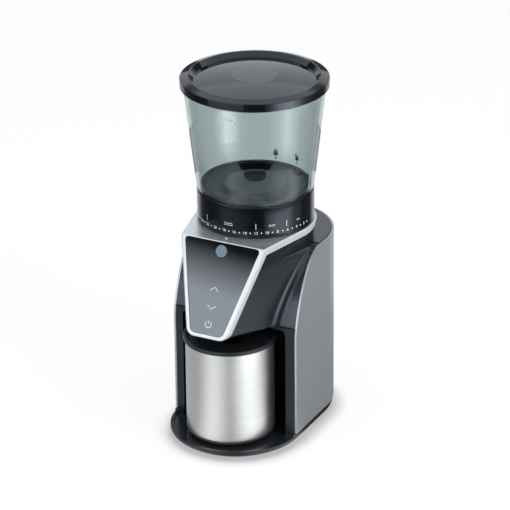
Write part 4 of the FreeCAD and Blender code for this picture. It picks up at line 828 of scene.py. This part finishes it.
TABLE = Ring("table_mirrored", (0.0, CUP_Y), 0.5, (0.1, 330.0), (-1.0, 0.0), (
    (-180, 0.6), (-125, 0.6), (-87, 0.5), (-74, 0.55), (-60, 0.9), (-40, 1.35), (-23, 1.1), (-6, 0.55),
    (4, 0.5), (21, 1.2), (35, 1.65), (52, 1.65), (70, 1.25), (80, 0.9), (88, 0.45), (96, 0.1), (117, 0.1),
    (135, 0.3), (180, 0.6)))
SHELF = Ring("shelf_mirrored", (0.0, AXIS_Y), 150.0, (212.0, 312.0), (215.0, 255.0), (
    (-180, 0.08), (-72, 0.08), (-60, 1.2), (-46, 4.4), (-34, 2.6), (-22, 0.1), (20, 0.08), (36, 1.6),
    (52, 4.6), (64, 2.0), (78, 0.1), (180, 0.08)))


@dataclass
class Studio:
    """The camera at the picture's angle, a pale floor and soft light.

    A direction in the room has three parts: across to the camera's right, behind the grinder, and up.
    """

    azimuth_deg: float = 27.09
    elevation_deg: float = 24.55
    roll_deg: float = -0.55
    distance_mm: float = 2811.16
    lens_mm: float = 221.04
    sensor_mm: float = 36.0
    sight_mm: float = 50000.0
    aim_mm: Point = (-0.953, 10.013, 157.23)
    lamps: tuple[tuple[str, Point, float, float], ...] = (
        ("soft_left", (-1000, -1300, 1300), 1000, 9.0), ("soft_right", (1500, -500, 900), 900, 16.0),
        ("soft_top", (100, 300, 1700), 1200, 8.0))
    # The floor: its own glow and what it takes from the lamps, and the contact shadow's reach and depth.
    floor_mm: float = 9000.0
    floor_paper: str = "#f2f2f2"
    floor_shares: Pair = (0.82, 0.16)
    contact_mm: float = 17.0
    contact_open: Pair = (0.5, 0.97)
    contact_dark: float = 0.55
    # The tall soft box: where it stands, how it glows from the foot up, and its sloping top edge.
    card_azimuth_deg: float = -19.0
    card_foot_y_mm: float = -70.0
    card_reach_mm: float = 750.0
    card_width_mm: float = 890.0
    card_z_mm: Pair = (-100.0, 600.0)
    card_glow: Pair = (0.9, 3.7)
    card_dim_mm: float = 120.0
    card_fade_mm: Pair = (457.0, 400.0)
    card_kink_mm: float = -70.0
    card_rise: float = 0.3
    room_light: float = 0.7
    brightest: float = 6.0
    tint: str = "#f4faff"
    # The parts up between which one row of boxes gives way to the next.
    row_breaks: tuple[Pair, ...] = ((-0.05, -0.2), (-0.375, -0.395), (-0.5, -0.57))
    # The gaps behind the grinder: how dark they are, their middle height, and where each part sets in.
    gap_dark: float = 0.9
    gap_up: float = 0.05
    gap_height: Pair = (0.18, 0.14)
    gap_aside: Pair = (0.09, 0.115)
    gap_behind: Pair = (0.88, 0.92)
    # The box overhead: brightness beside it and in it, its lower edge, and how its half width shrinks.
    overhead: Pair = (0.06, 1.5)
    overhead_up: Pair = (0.44, 0.5)
    overhead_behind: Pair = (0.6, 0.4)
    overhead_half: Pair = (0.26, 0.95)
    overhead_edge: float = 0.008

    def camera(self) -> None:
        """Sets the camera where the picture was taken from."""
        a, e, r = (math.radians(x) for x in (self.azimuth_deg, self.elevation_deg, self.roll_deg))
        back = Vector((math.sin(a) * math.cos(e), -math.cos(a) * math.cos(e), math.sin(e)))
        right = (-back).cross(Vector((0, 0, 1))).normalized()
        up = right.cross(-back)
        rolled = right * math.cos(r) + up * math.sin(r)
        upward = up * math.cos(r) - right * math.sin(r)
        eye = (Vector(self.aim_mm) + back * self.distance_mm) * MM
        data = bpy.data.cameras.new("camera")
        data.lens = self.lens_mm
        data.sensor_width = self.sensor_mm
        data.clip_end = self.sight_mm * MM
        camera = bpy.data.objects.new("camera", data)
        turn = Matrix((rolled, upward, back)).transposed().to_4x4()
        camera.matrix_world = Matrix.Translation(eye) @ turn
        bpy.context.scene.collection.objects.link(camera)
        bpy.context.scene.camera = camera

    def lamp(self, name: str, place_mm: Point, size_mm: float, watts: float) -> None:
        """Adds one soft lamp that looks at the object.

        Args:
            name: The lamp's name.
            place_mm: Where it hangs.
            size_mm: The side of its square face.
            watts: Its power.
        """
        data = bpy.data.lights.new(name, "AREA")
        data.size = size_mm * MM
        data.energy = watts
        lamp = bpy.data.objects.new(name, data)
        place = Vector(place_mm) * MM
        look = Vector(self.aim_mm) * MM - place
        lamp.matrix_world = Matrix.Translation(place) @ look.to_track_quat("-Z", "Y").to_matrix().to_4x4()
        lamp.visible_glossy = False
        lamp.visible_camera = False
        bpy.context.scene.collection.objects.link(lamp)

    def bearing(self, tree: Tree, way: Socket | Node) -> tuple[Socket, Socket, Socket, Node]:
        """Turns a direction to the way the camera faces.

        Args:
            tree: The tree that takes the nodes.
            way: The direction.

        Returns:
            Its parts across, behind and up, and its bearing from the camera as a share of a full turn.
        """
        turned = add(tree, "ShaderNodeVectorRotate", way, rotation_type="Z_AXIS",
                     feeds={"Angle": -math.radians(self.azimuth_deg)})
        across, behind, up = add(tree, SPLIT, turned).outputs
        ahead = add(tree, MATH, behind, -1.0, operation="MULTIPLY")
        angle = add(tree, MATH, across, ahead, operation="ARCTAN2")
        return across, behind, up, add(tree, RANGE, angle, -math.pi, math.pi)

    def boxes(self, stops: Stops) -> Stops:
        """Turns a row of soft boxes to the stops of a ramp.

        Args:
            stops: Bearings from -180 to 180 degrees and their brightness.

        Returns:
            Places from 0 to 1 and shares of the brightest.
        """
        half = FULL_TURN / 2
        return tuple(((degrees + half) / FULL_TURN, glow / self.brightest) for degrees, glow in stops)

    def room(self) -> None:
        """Makes the white room, plain for the eye and through clear walls, with soft boxes in reflections."""
        world = bpy.data.worlds.new("studio_room")
        bpy.context.scene.world = world
        tree = bare_tree(world)
        ray = add(tree, "ShaderNodeLightPath").outputs
        across, behind, up, share = self.bearing(tree, add(tree, PLACE).outputs["Generated"])
        aside = add(tree, MATH, across, operation="ABSOLUTE")
        # The walls: four rows of boxes from high to steep.
        rows = (HIGH_BOXES, RIM_BOXES, LOW_BOXES, STEEP_BOXES)
        walls, *lower = (add(tree, RAMP, share, stops=self.boxes(row)) for row in rows)
        for span, row in zip(self.row_breaks, lower):
            walls = add(tree, MIX, add(tree, RANGE, up, *span, **EASED), walls, row)
        # The dark gaps in the wall behind the grinder.
        tilt = add(tree, MATH, up, self.gap_up, operation="SUBTRACT")
        level = add(tree, MATH, tilt, operation="ABSOLUTE")
        dark = self.gap_dark
        for part, span in ((level, self.gap_height), (aside, self.gap_aside), (behind, self.gap_behind)):
            dark = add(tree, MATH, add(tree, RANGE, part, *span, **EASED), dark, operation="MULTIPLY")
        left = add(tree, MATH, 1.0, dark, operation="SUBTRACT")
        walls = add(tree, MATH, walls, left, operation="MULTIPLY")
        # The box overhead, which narrows towards the back.
        half = add(tree, RANGE, behind, *self.overhead_behind, *self.overhead_half)
        within = add(tree, MATH, half, aside, operation="SUBTRACT")
        overhead = add(tree, RANGE, within, -self.overhead_edge, self.overhead_edge,
                       *(glow / self.brightest for glow in self.overhead))
        seen = add(tree, MIX, add(tree, RANGE, up, *self.overhead_up, **EASED), walls, overhead)
        white = Vector(linear(self.tint)[:3]) * self.brightest
        tint = add(tree, VECTOR, white, seen, operation="SCALE")
        # Which ray sees what: a look inside a clear wall that was mirrored counts as a reflection.
        mirrored = add(tree, MATH, ray["Glossy Depth"], ANY_BOUNCE, operation="GREATER_THAN")
        glossy = add(tree, MATH, ray["Is Glossy Ray"], mirrored, operation="MAXIMUM")
        plain = add(tree, MIX, glossy, (self.room_light,) * 3 + (1.0,), tint, **COLOUR)
        straight = add(tree, MATH, ray["Is Transmission Ray"], mirrored, operation="SUBTRACT")
        direct = add(tree, MATH, ray["Is Camera Ray"], straight, operation="MAXIMUM")
        light = add(tree, MIX, direct, plain, linear("#ffffff"), **COLOUR)
        add(tree, "ShaderNodeOutputWorld", add(tree, "ShaderNodeBackground", light))

    def sheet(self, name: str, finish: str, corners: list[Vector], shade: Shade) -> bpy.types.Object:
        """Adds a flat piece of the studio.

        Args:
            name: Its name.
            finish: The name of its material.
            corners: Its corners in millimetres.
            shade: Adds the material's nodes and returns the shader.

        Returns:
            The new object.
        """
        mesh = bpy.data.meshes.new(name)
        mesh.from_pydata([corner * MM for corner in corners], [], [tuple(range(len(corners)))])
        mesh.materials.append(bpy.data.materials.new(finish))
        tree = bare_tree(mesh.materials[0])
        add(tree, "ShaderNodeOutputMaterial", shade(tree))
        piece = bpy.data.objects.new(name, mesh)
        bpy.context.scene.collection.objects.link(piece)
        return piece

    def paper(self, tree: Tree) -> Node:
        """Makes the table top's paper, which glows for the eye and darkens near what stands on it.

        Args:
            tree: The material's tree.

        Returns:
            The shader.
        """
        ray = add(tree, "ShaderNodeLightPath").outputs
        paper = add(tree, DIFFUSE, linear(self.floor_paper))
        around = add(tree, "ShaderNodeAmbientOcclusion", feeds={"Distance": self.contact_mm * MM},
                     samples=CONTACT_SAMPLES)
        contact = add(tree, RANGE, around.outputs["AO"], *self.contact_open, self.contact_dark, 1.0)
        own, lit = (add(tree, MATH, contact, share, operation="MULTIPLY") for share in self.floor_shares)
        glow = add(tree, "ShaderNodeEmission", feeds={"Strength": own})
        bright = add(tree, "ShaderNodeAddShader", add(tree, DIFFUSE, lit), glow)
        direct = add(tree, MATH, ray["Is Camera Ray"], ray["Is Transmission Ray"], operation="MAXIMUM")
        shown = add(tree, MIX_SHADER, direct, paper, bright)
        mirrored = add(tree, MATH, ray["Glossy Depth"], ANY_BOUNCE, operation="GREATER_THAN")
        hidden = add(tree, MATH, ray["Is Transmission Ray"], mirrored, operation="MULTIPLY")
        return add(tree, MIX_SHADER, hidden, shown, add(tree, "ShaderNodeBsdfTransparent"))

    def floor(self) -> None:
        """Lays the white table top, which keeps the object's soft shadow."""
        half = self.floor_mm / 2
        corners = [Vector((x * half, y * half, 0)) for x, y in ((-1, -1), (1, -1), (1, 1), (-1, 1))]
        floor = self.sheet("floor", "paper_white_matt", corners, self.paper)
        floor.visible_glossy = False

    def reflector(self, name: str, corners: list[Vector], glow: Shade) -> None:
        """Adds a flat light that only reflections see.

        Args:
            name: Its name.
            corners: Its corners in millimetres.
            glow: Adds the nodes that give its brightness and returns the last.
        """
        def light(tree: Tree) -> Node:
            """Lights the panel in the room's tint."""
            return add(tree, "ShaderNodeEmission", linear(self.tint), glow(tree))

        panel = self.sheet(name, name, corners, light)
        panel.visible_camera = False
        panel.visible_diffuse = False
        panel.visible_transmission = False
        panel.visible_shadow = False

    def card(self) -> None:
        """Stands the tall soft box at the front left; its top edge fades out and rises to the right."""
        turn = math.radians(self.card_azimuth_deg)
        out = Vector((math.sin(turn), -math.cos(turn), 0))
        side = Vector((math.cos(turn), math.sin(turn), 0))
        foot = Vector((0, self.card_foot_y_mm, 0)) + out * self.card_reach_mm
        half = self.card_width_mm / 2
        low, high = self.card_z_mm
        corners = [foot + side * u + Vector((0, 0, z))
                   for u, z in ((-half, low), (half, low), (half, high), (-half, high))]

        def glow(tree: Tree) -> Node:
            """Dims the foot of the box and fades its top.

            Args:
                tree: The box's tree.

            Returns:
                Its brightness.
            """
            place = add(tree, PLACE).outputs["Object"]
            height = add(tree, SPLIT, place).outputs[2]
            along = add(tree, VECTOR, place, side, operation="DOT_PRODUCT")
            past = add(tree, MATH, along, (foot.dot(side) + self.card_kink_mm) * MM, operation="SUBTRACT")
            right = add(tree, MATH, past, 0.0, operation="MAXIMUM")
            edge = add(tree, MATH, right, -self.card_rise, height, operation="MULTIPLY_ADD")
            lower = add(tree, RANGE, height, 0.0, self.card_dim_mm * MM, *self.card_glow, **EASED)
            fade = add(tree, RANGE, edge, *(z * MM for z in self.card_fade_mm))
            return add(tree, MATH, lower, fade, operation="MULTIPLY")

        self.reflector("soft_box_left", corners, glow)

    def ring(self, ring: Ring) -> None:
        """Lays one of the flat rings.

        Args:
            ring: Its sizes and its row of boxes.
        """
        middle = Vector((*ring.centre_mm, ring.z_mm))
        turns = [2 * math.pi * i / RING_SIDES for i in range(RING_SIDES + 1)]
        ways = [Vector((math.cos(t), math.sin(t), 0)) for t in turns]
        inner, outer = ([middle + way * reach for way in ways] for reach in ring.reach_mm)

        def glow(tree: Tree) -> Node:
            """Works out the brightness from the bearing and the reach.

            Args:
                tree: The ring's tree.

            Returns:
                Its brightness.
            """
            place = add(tree, PLACE).outputs["Object"]
            centred = add(tree, VECTOR, place, middle * MM, operation="SUBTRACT")
            *_, share = self.bearing(tree, centred)
            row = add(tree, RAMP, share, stops=self.boxes(ring.boxes))
            reach = add(tree, VECTOR, centred, operation="LENGTH")
            full = add(tree, RANGE, reach, *(r * MM for r in ring.fade_mm), 0.0, self.brightest, **EASED)
            return add(tree, MATH, row, full, operation="MULTIPLY")

        self.reflector(ring.name, outer + inner[::-1], glow)

    def build(self) -> None:
        """Sets up the whole studio."""
        bpy.context.scene.view_settings.view_transform = "Standard"
        self.camera()
        self.room()
        self.floor()
        self.card()
        self.ring(TABLE)
        self.ring(SHELF)
        for lamp in self.lamps:
            self.lamp(*lamp)


@dataclass
class HopperAssembly:
    """The smoked hopper with its floor, lid and printed marks."""

    foot_radius: float = 52.2
    foot_z: float = 227.2
    rim_radius: float = 63.4
    rim_z: float = 324.0
    lid_top: float = 331.5
    lid_curve: float = 300.0
    inlay_radius: float = 20.5
    inlay_proud: float = 0.06
    inlay_sunk: float = 0.24
    inlay_steps: int = 10
    # Points (radius, height) of the floor's slope.
    floor_edge: Pair = (49.5, 230.0)
    floor_lip: Pair = (28.5, 224.6)
    # For each painted shade window its bearing, its width in degrees and its inner and outer radius.
    floor_windows: tuple[tuple[float, float, float, float], ...] = (
        (207.0, 41.0, 34.0, 47.3), (146.0, 17.0, 41.0, 46.8))
    window_skin: float = 0.15
    window_steps: int = 12
    # The cap, with points (radius, height), and its slot from the middle outward.
    cap_edge: Pair = (27.6, 229.6)
    cap_foot: Pair = (31.5, 225.3)
    cap_skin: float = 1.2
    cap_sides: int = 72
    feed_bearing_deg: float = 208.5
    feed_reach: Pair = (12.0, 25.4)
    feed_radius: float = 9.8
    feed_stretch: float = 1.25
    feed_steps: int = 12
    fill_line_bearing_deg: float = 6.2
    fill_line_drop: float = 12.8
    fill_line_width: float = 0.9
    # For each line half its length and how far it sits above the mark's middle.
    fill_lines: tuple[Pair, ...] = ((5.0, 0.0), (3.0, -3.0))
    lock_z: float = 236.0
    lock_line: float = 1.15
    lock_bow: float = 1.4
    lock_bow_rise: float = 2.0
    lock_bow_steps: int = 10
    lock_box: Pair = (4.4, 3.8)
    lock_arrow: tuple[Pair, ...] = ((-0.7, -3.8), (0.7, -3.8), (0.0, -5.0), (-0.7, -3.8))

    def wall(self, bearing_deg: float, z: float) -> Lay:
        """Finds how a flat mark is laid on the hopper's outer wall.

        Args:
            bearing_deg: From the front towards +X.
            z: The height of the mark's middle.

        Returns:
            A function from a point of the mark to a point on the wall.
        """
        lean = (self.rim_radius - self.foot_radius) / (self.rim_z - self.foot_z)
        return round_wall(bearing_deg, z, self.foot_radius + lean * (z - self.foot_z), lean)

    def inlay(self) -> Mesh:
        """Turns the round inlay that follows the lid's dome.

        Returns:
            A closed disc, a hair proud of the lid.
        """
        reach = [self.inlay_radius * i / self.inlay_steps for i in range(self.inlay_steps + 1)]
        dome = [(r, self.lid_top - self.lid_curve + math.sqrt(self.lid_curve ** 2 - r ** 2)) for r in reach]
        top = [(r, z + self.inlay_proud) for r, z in dome]
        under = [(r, z - self.inlay_sunk) for r, z in reversed(dome)]
        return swept(top + under, (0.0, AXIS_Y), BLASTED_BLACK)

    def window(self, bearing_deg: float, width_deg: float, inner: float, outer: float) -> Mesh:
        """Makes a window of painted shade in the hopper's floor as a thin dark sector that follows its slope.

        Args:
            bearing_deg: Its middle, from the front towards +X.
            width_deg: How wide it is, seen from the axis.
            inner: Its inner radius.
            outer: Its outer radius.

        Returns:
            A closed mesh.
        """
        (edge, edge_z), (lip, lip_z) = self.floor_edge, self.floor_lip
        slope = (edge_z - lip_z) / (edge - lip)
        skin = self.window_skin
        corners = ((inner, -skin), (outer, -skin), (outer, skin), (inner, skin))
        profile = [(reach, lip_z + (reach - lip) * slope + lift) for reach, lift in corners]
        start = bearing_deg - width_deg / 2 - FULL_TURN / 4
        return swept(profile, (0.0, AXIS_Y), PAINTED_SHADE_BLACK, self.window_steps, start, width_deg)

    def feed_cap(self) -> Mesh:
        """Makes the low cap over the hopper's funnel, with the slot that lets the beans through.

        Returns:
            A closed shell that stands on the floor's slope.
        """
        work = bmesh.new()
        turns = [2 * math.pi * i / self.cap_sides for i in range(self.cap_sides)]
        edge, foot = ([work.verts.new((r * math.cos(t), r * math.sin(t), z)) for t in turns]
                      for r, z in (self.cap_edge, self.cap_foot))
        start, end = self.feed_reach
        sides = [self.feed_radius * (2 * k / self.feed_steps - 1) for k in range(self.feed_steps + 1)]
        slot = [(start - self.feed_stretch * y, x) for x, y in arc(self.feed_radius, 0, 180)]
        slot += [(math.sqrt(end ** 2 - y ** 2), y) for y in sides]
        hole = [work.verts.new((x, y, self.cap_edge[1])) for x, y in slot]
        rims = [work.edges.new((loop[i - 1], loop[i])) for loop in (edge, hole) for i in range(len(loop))]
        bmesh.ops.triangle_fill(work, use_beauty=True, edges=rims)
        for i in range(self.cap_sides):
            work.faces.new((edge[i - 1], edge[i], foot[i], foot[i - 1]))
        bmesh.ops.recalc_face_normals(work, faces=work.faces)
        if sum(face.normal.z for face in work.faces) < 0:
            bmesh.ops.reverse_faces(work, faces=work.faces)
        bmesh.ops.solidify(work, geom=work.faces, thickness=self.cap_skin)
        turn = Matrix.Rotation(math.radians(self.feed_bearing_deg - FULL_TURN / 4), 4, "Z")
        work.transform(Matrix.Scale(MM, 4) @ Matrix.Translation((0.0, AXIS_Y, 0.0)) @ turn)
        return closed_mesh(work, FLOOR_GREY)

    def lock_mark(self, state: Lock) -> Mesh:
        """Prints a padlock with a small arrow under it.

        Args:
            state: Whether its bow is shut or swung open.

        Returns:
            The mark on the hopper's wall.
        """
        bearing_deg, swing = state.value
        ink = Print(DARK_INK)
        arch = arc(self.lock_bow, 0, 180, self.lock_bow_steps)
        bow = [(swing + x, self.lock_bow_rise + y) for x, y in arch]
        lines = ink.strokes([bow, self.lock_arrow], self.lock_line)
        width, height = self.lock_box
        box = ink.strokes([[(-width / 2, 0.0), (width / 2, 0.0)]], height)
        return laid(joined(lines, box), self.wall(bearing_deg, self.lock_z))

    def build(self) -> None:
        """Dresses the solids and adds the lid's inlay, the floor's painted shade windows and cap, and the
        prints.
        """
        dress_nodes(GLOSS_BLACK, "hopper_lid")
        dress_nodes(SILICONE, "lid_seal")
        dress_nodes(SMOKED_CLEAR, "bean_hopper")
        dress_nodes(FLOOR_GREY, "hopper_floor")
        mesh_piece("lid_inlay", "lid", "lid_black", self.inlay())
        # The windows are dark sectors of painted shade on the floor's slope.
        windows = (self.window(*place) for place in self.floor_windows)
        mesh_piece("floor_windows", "hopper", "floor_grey", *windows)
        mesh_piece("feed_cap", "hopper", "floor_grey", self.feed_cap())
        paths = [[(-half, y), (half, y)] for half, y in self.fill_lines]
        lines = Print(WHITE_INK).strokes(paths, self.fill_line_width)
        wall = self.wall(self.fill_line_bearing_deg, self.rim_z - self.fill_line_drop)
        mesh_piece("fill_line", "hopper", "hopper_clear", laid(lines, wall))
        mesh_piece("lock_marks", "hopper", "hopper_clear", *(self.lock_mark(state) for state in Lock))


@dataclass
class GrindDial:
    """The gloss dial with its numbers, dots and grain pictures."""

    radius: float = 52.3
    number_z: float = 201.85
    number_height: float = 2.6
    step_deg: float = 5.4
    front_setting: int = 17
    last_setting: int = 33
    dot_width: float = 1.2
    tick_low: float = 3.6
    tick_high: float = 9.0
    tick_width: float = 0.45
    picture_rise: float = 6.6
    picture_rows: int = 2
    grain_pitch: float = 1.9
    grain_scatter: float = 0.3

    def wall(self, setting: float, rise: float = 0.0) -> Lay:
        """Finds how a flat mark is laid round the dial.

        Args:
            setting: The setting that it stands at.
            rise: How far above the numbers' line it sits.

        Returns:
            A function from a point of the mark to a point on the dial.
        """
        return round_wall((self.front_setting - setting) * self.step_deg, self.number_z + rise, self.radius)

    def build(self) -> None:
        """Dresses the dial and prints its scale."""
        dress_nodes(DIAL_BLACK, "grind_ring")
        ink = Print(WHITE_INK)
        even = range(2, self.last_setting, 2)
        figures = (laid(ink.figures(str(n), self.number_height), self.wall(n)) for n in even)
        mesh_piece("dial_numbers", "dial", "dial_black", *figures)
        odd = (self.last_setting + 1) // 2
        pitch = 2 * math.radians(self.step_deg) * self.radius
        dots = laid(ink.dots(odd, 1, pitch, self.dot_width), self.wall(self.front_setting))
        mesh_piece("dial_dots", "dial", "dial_black", dots)
        ticks, pictures = [], []
        for part in Grind:
            first, last, grain, columns = part.value
            if part is not Grind.FINEST:
                tick = ink.strokes([[(0.0, self.tick_low), (0.0, self.tick_high)]], self.tick_width)
                ticks.append(laid(tick, self.wall(first)))
            step, scatter = grain * self.grain_pitch, grain * self.grain_scatter
            grains = ink.dots(columns, self.picture_rows, step, grain, scatter)
            pictures.append(laid(grains, self.wall((first + last) / 2, self.picture_rise)))
        mesh_piece("dial_section_lines", "dial", "dial_black", *ticks)
        mesh_piece("dial_grain_pictures", "dial", "dial_black", *pictures)


@dataclass
class TrimAndPanel:
    """The silver bezel with its pointer and the touch panel with its printed keys."""

    panel_top: Point = (0.0, -53.4, 195.5)
    panel_foot: Point = (0.0, -87.15, 120.15)
    disc_drop: float = 7.7
    disc_width: float = 11.0
    sign_line: float = 0.75
    up_drop: float = 41.5
    down_drop: float = 58.0
    chevron_half: float = 3.9
    chevron_rise: float = 3.4
    power_drop: float = 73.0
    power_arc: Point = (2.9, 125.0, 415.0)
    power_bar: Pair = (0.6, 3.6)
    pointer: Point = (0.0, -46.5, 196.5)
    pointer_bead: tuple[Pair, ...] = ((1.0, -0.2), (1.0, 0.15), (0.7, 0.4), (0.0, 0.45), (0.0, -0.2))
    pointer_sides: int = 24

    def face(self, drop: float) -> Lay:
        """Finds how a flat mark is laid on the panel's glass.

        Args:
            drop: How far down the panel its middle sits.

        Returns:
            A function from a point of the mark to a point on the glass.
        """
        right = Vector((1, 0, 0))
        down = (Vector(self.panel_foot) - Vector(self.panel_top)).normalized()
        out = right.cross(-down).normalized()
        glass = max(v.co.dot(out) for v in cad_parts["touch_panel"].data.vertices)
        middle = (Vector(self.panel_top) + down * drop) * MM
        middle += out * (glass - middle.dot(out))

        def place(p: Vector) -> Vector:
            """Lays one point on the glass."""
            return middle + right * p.x - down * p.y + out * p.z

        return place

    def build(self) -> None:
        """Dresses the bezel and panel and adds the prints and the pointer."""
        dress_nodes(SILVER_LACQUER, "trim_bezel")
        dress_nodes(PANEL_GLASS, "touch_panel")
        dress_nodes(BOARD_GREEN, "touch_board")
        disc = Print(DISC_INK).dots(1, 1, 0.0, self.disc_width)
        mesh_piece("panel_disc", "body", "panel_glass", laid(disc, self.face(self.disc_drop)))
        ink = Print(GREY_INK)
        w, h = self.chevron_half, self.chevron_rise / 2
        low, high = self.power_bar
        signs = {self.up_drop: [[(-w, -h), (0.0, h), (w, -h)]],
                 self.down_drop: [[(-w, h), (0.0, -h), (w, h)]],
                 self.power_drop: [arc(*self.power_arc), [(0.0, low), (0.0, high)]]}
        marks = (laid(ink.strokes(paths, self.sign_line), self.face(drop)) for drop, paths in signs.items())
        mesh_piece("panel_signs", "body", "panel_glass", *marks)
        x, y, z = self.pointer
        bead = [(radius, z + rise) for radius, rise in self.pointer_bead]
        mesh_piece("dial_pointer", "body", "trim_silver", swept(bead, (x, y), WHITE_INK, self.pointer_sides))


@dataclass
class BodyShell:
    """The head, the rear panel, the bay, the base and what they stand on."""

    seam_width: float = 0.55
    seam_start: Pair = (-33.5, 114.7)
    seam_end: Pair = (-77.5, 128.3)
    seam_steps: int = 24
    seam_look: float = 200.0

    def seam(self, side: int) -> Mesh:
        """Draws the head's parting line on one cheek, where a level look from the side meets it.

        Args:
            side: 1 for +X, -1 for -X.

        Returns:
            A thin dark bead sunk half into the cheek.
        """
        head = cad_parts["head_housing"].data
        cheeks = BVHTree.FromPolygons([v.co for v in head.vertices], [p.vertices for p in head.polygons])
        start, end = (Vector((side * self.seam_look, y, z)) * MM for y, z in (self.seam_start, self.seam_end))
        looks = [start.lerp(end, step / self.seam_steps) for step in range(self.seam_steps + 1)]
        hits = [cheeks.ray_cast(look, Vector((-side, 0, 0)))[0] for look in looks]
        line = polyline([[tuple(hit / MM) for hit in hits if hit]])
        return BEAD.grown(line, DARK_INK, {"Width": self.seam_width * MM})

    def build(self) -> None:
        """Dresses the housing and adds its parting lines."""
        dress_nodes(ETCHED_BLACK, "head_housing", "deck_cover", "base_tray")
        dress_nodes(BAY_BLACK, "bay_frame", "bay_roof", "base_plate")
        dress_nodes(GREY_FLAKE, "rear_shell")
        dress_nodes(FOOT_RUBBER, "rubber_feet", "cord_gland")
        dress_nodes(SHAFT_STEEL, "base_screws")
        mesh_piece("head_seams", "body", "body_black", self.seam(1), self.seam(-1))


@dataclass
class GroundsCup:
    """The brushed cup and its lid with the pouring hole."""

    def build(self) -> None:
        """Dresses the cup and its lid."""
        dress_nodes(BRUSHED_STEEL, "grounds_cup")
        dress_nodes(BAY_BLACK, "cup_lid")


@dataclass
class InnerWorks:
    """The burrs, gears, motor and boards behind the housing."""

    def build(self) -> None:
        """Dresses every inner solid by what it is made of."""
        dress_nodes(BURR_STEEL, "cone_burr", "ring_burr", "motor_can", "motor_armature")
        dress_nodes(SHAFT_STEEL, "burr_shaft", "idler_pin", "motor_shaft", "motor_pinion", "gear_spacers",
                    "gear_screws", "detent_spring")
        dress_nodes(NYLON, "main_gear", "idler_gear")
        # The filled plastic's colour is darkened as painted shade.
        dress_nodes(FILLED_PLASTIC, "burr_carrier", "grind_chamber", "coffee_chute", "feed_cone", "sweeper",
                    "motor_end_cap", "safety_switch", "board_capacitor", "board_relay")
        dress_nodes(ROLLED_ALUMINIUM, "lower_gear_plate", "upper_gear_plate")
        dress_nodes(COPPER, "lower_bearing", "upper_bearing", "motor_commutator")
        dress_nodes(FERRITE, "motor_magnets")
        dress_nodes(CARBON, "motor_brushes")
        dress_nodes(BOARD_GREEN, "power_board")


def main() -> None:
    """Builds the studio and each sub-assembly in order."""
    logging.basicConfig(level=logging.INFO, format="%(name)s: %(message)s")
    for part in (Studio, HopperAssembly, GrindDial, TrimAndPanel, BodyShell, GroundsCup, InnerWorks):
        LOG.info("building %s", part.__name__)
        part().build()
    bare = [n for n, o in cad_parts.items() if not any(m and m.node_tree for m in o.data.materials)]
    LOG.info("solids without a finish: %s", bare or "none")


if __name__ == "__main__":
    main()
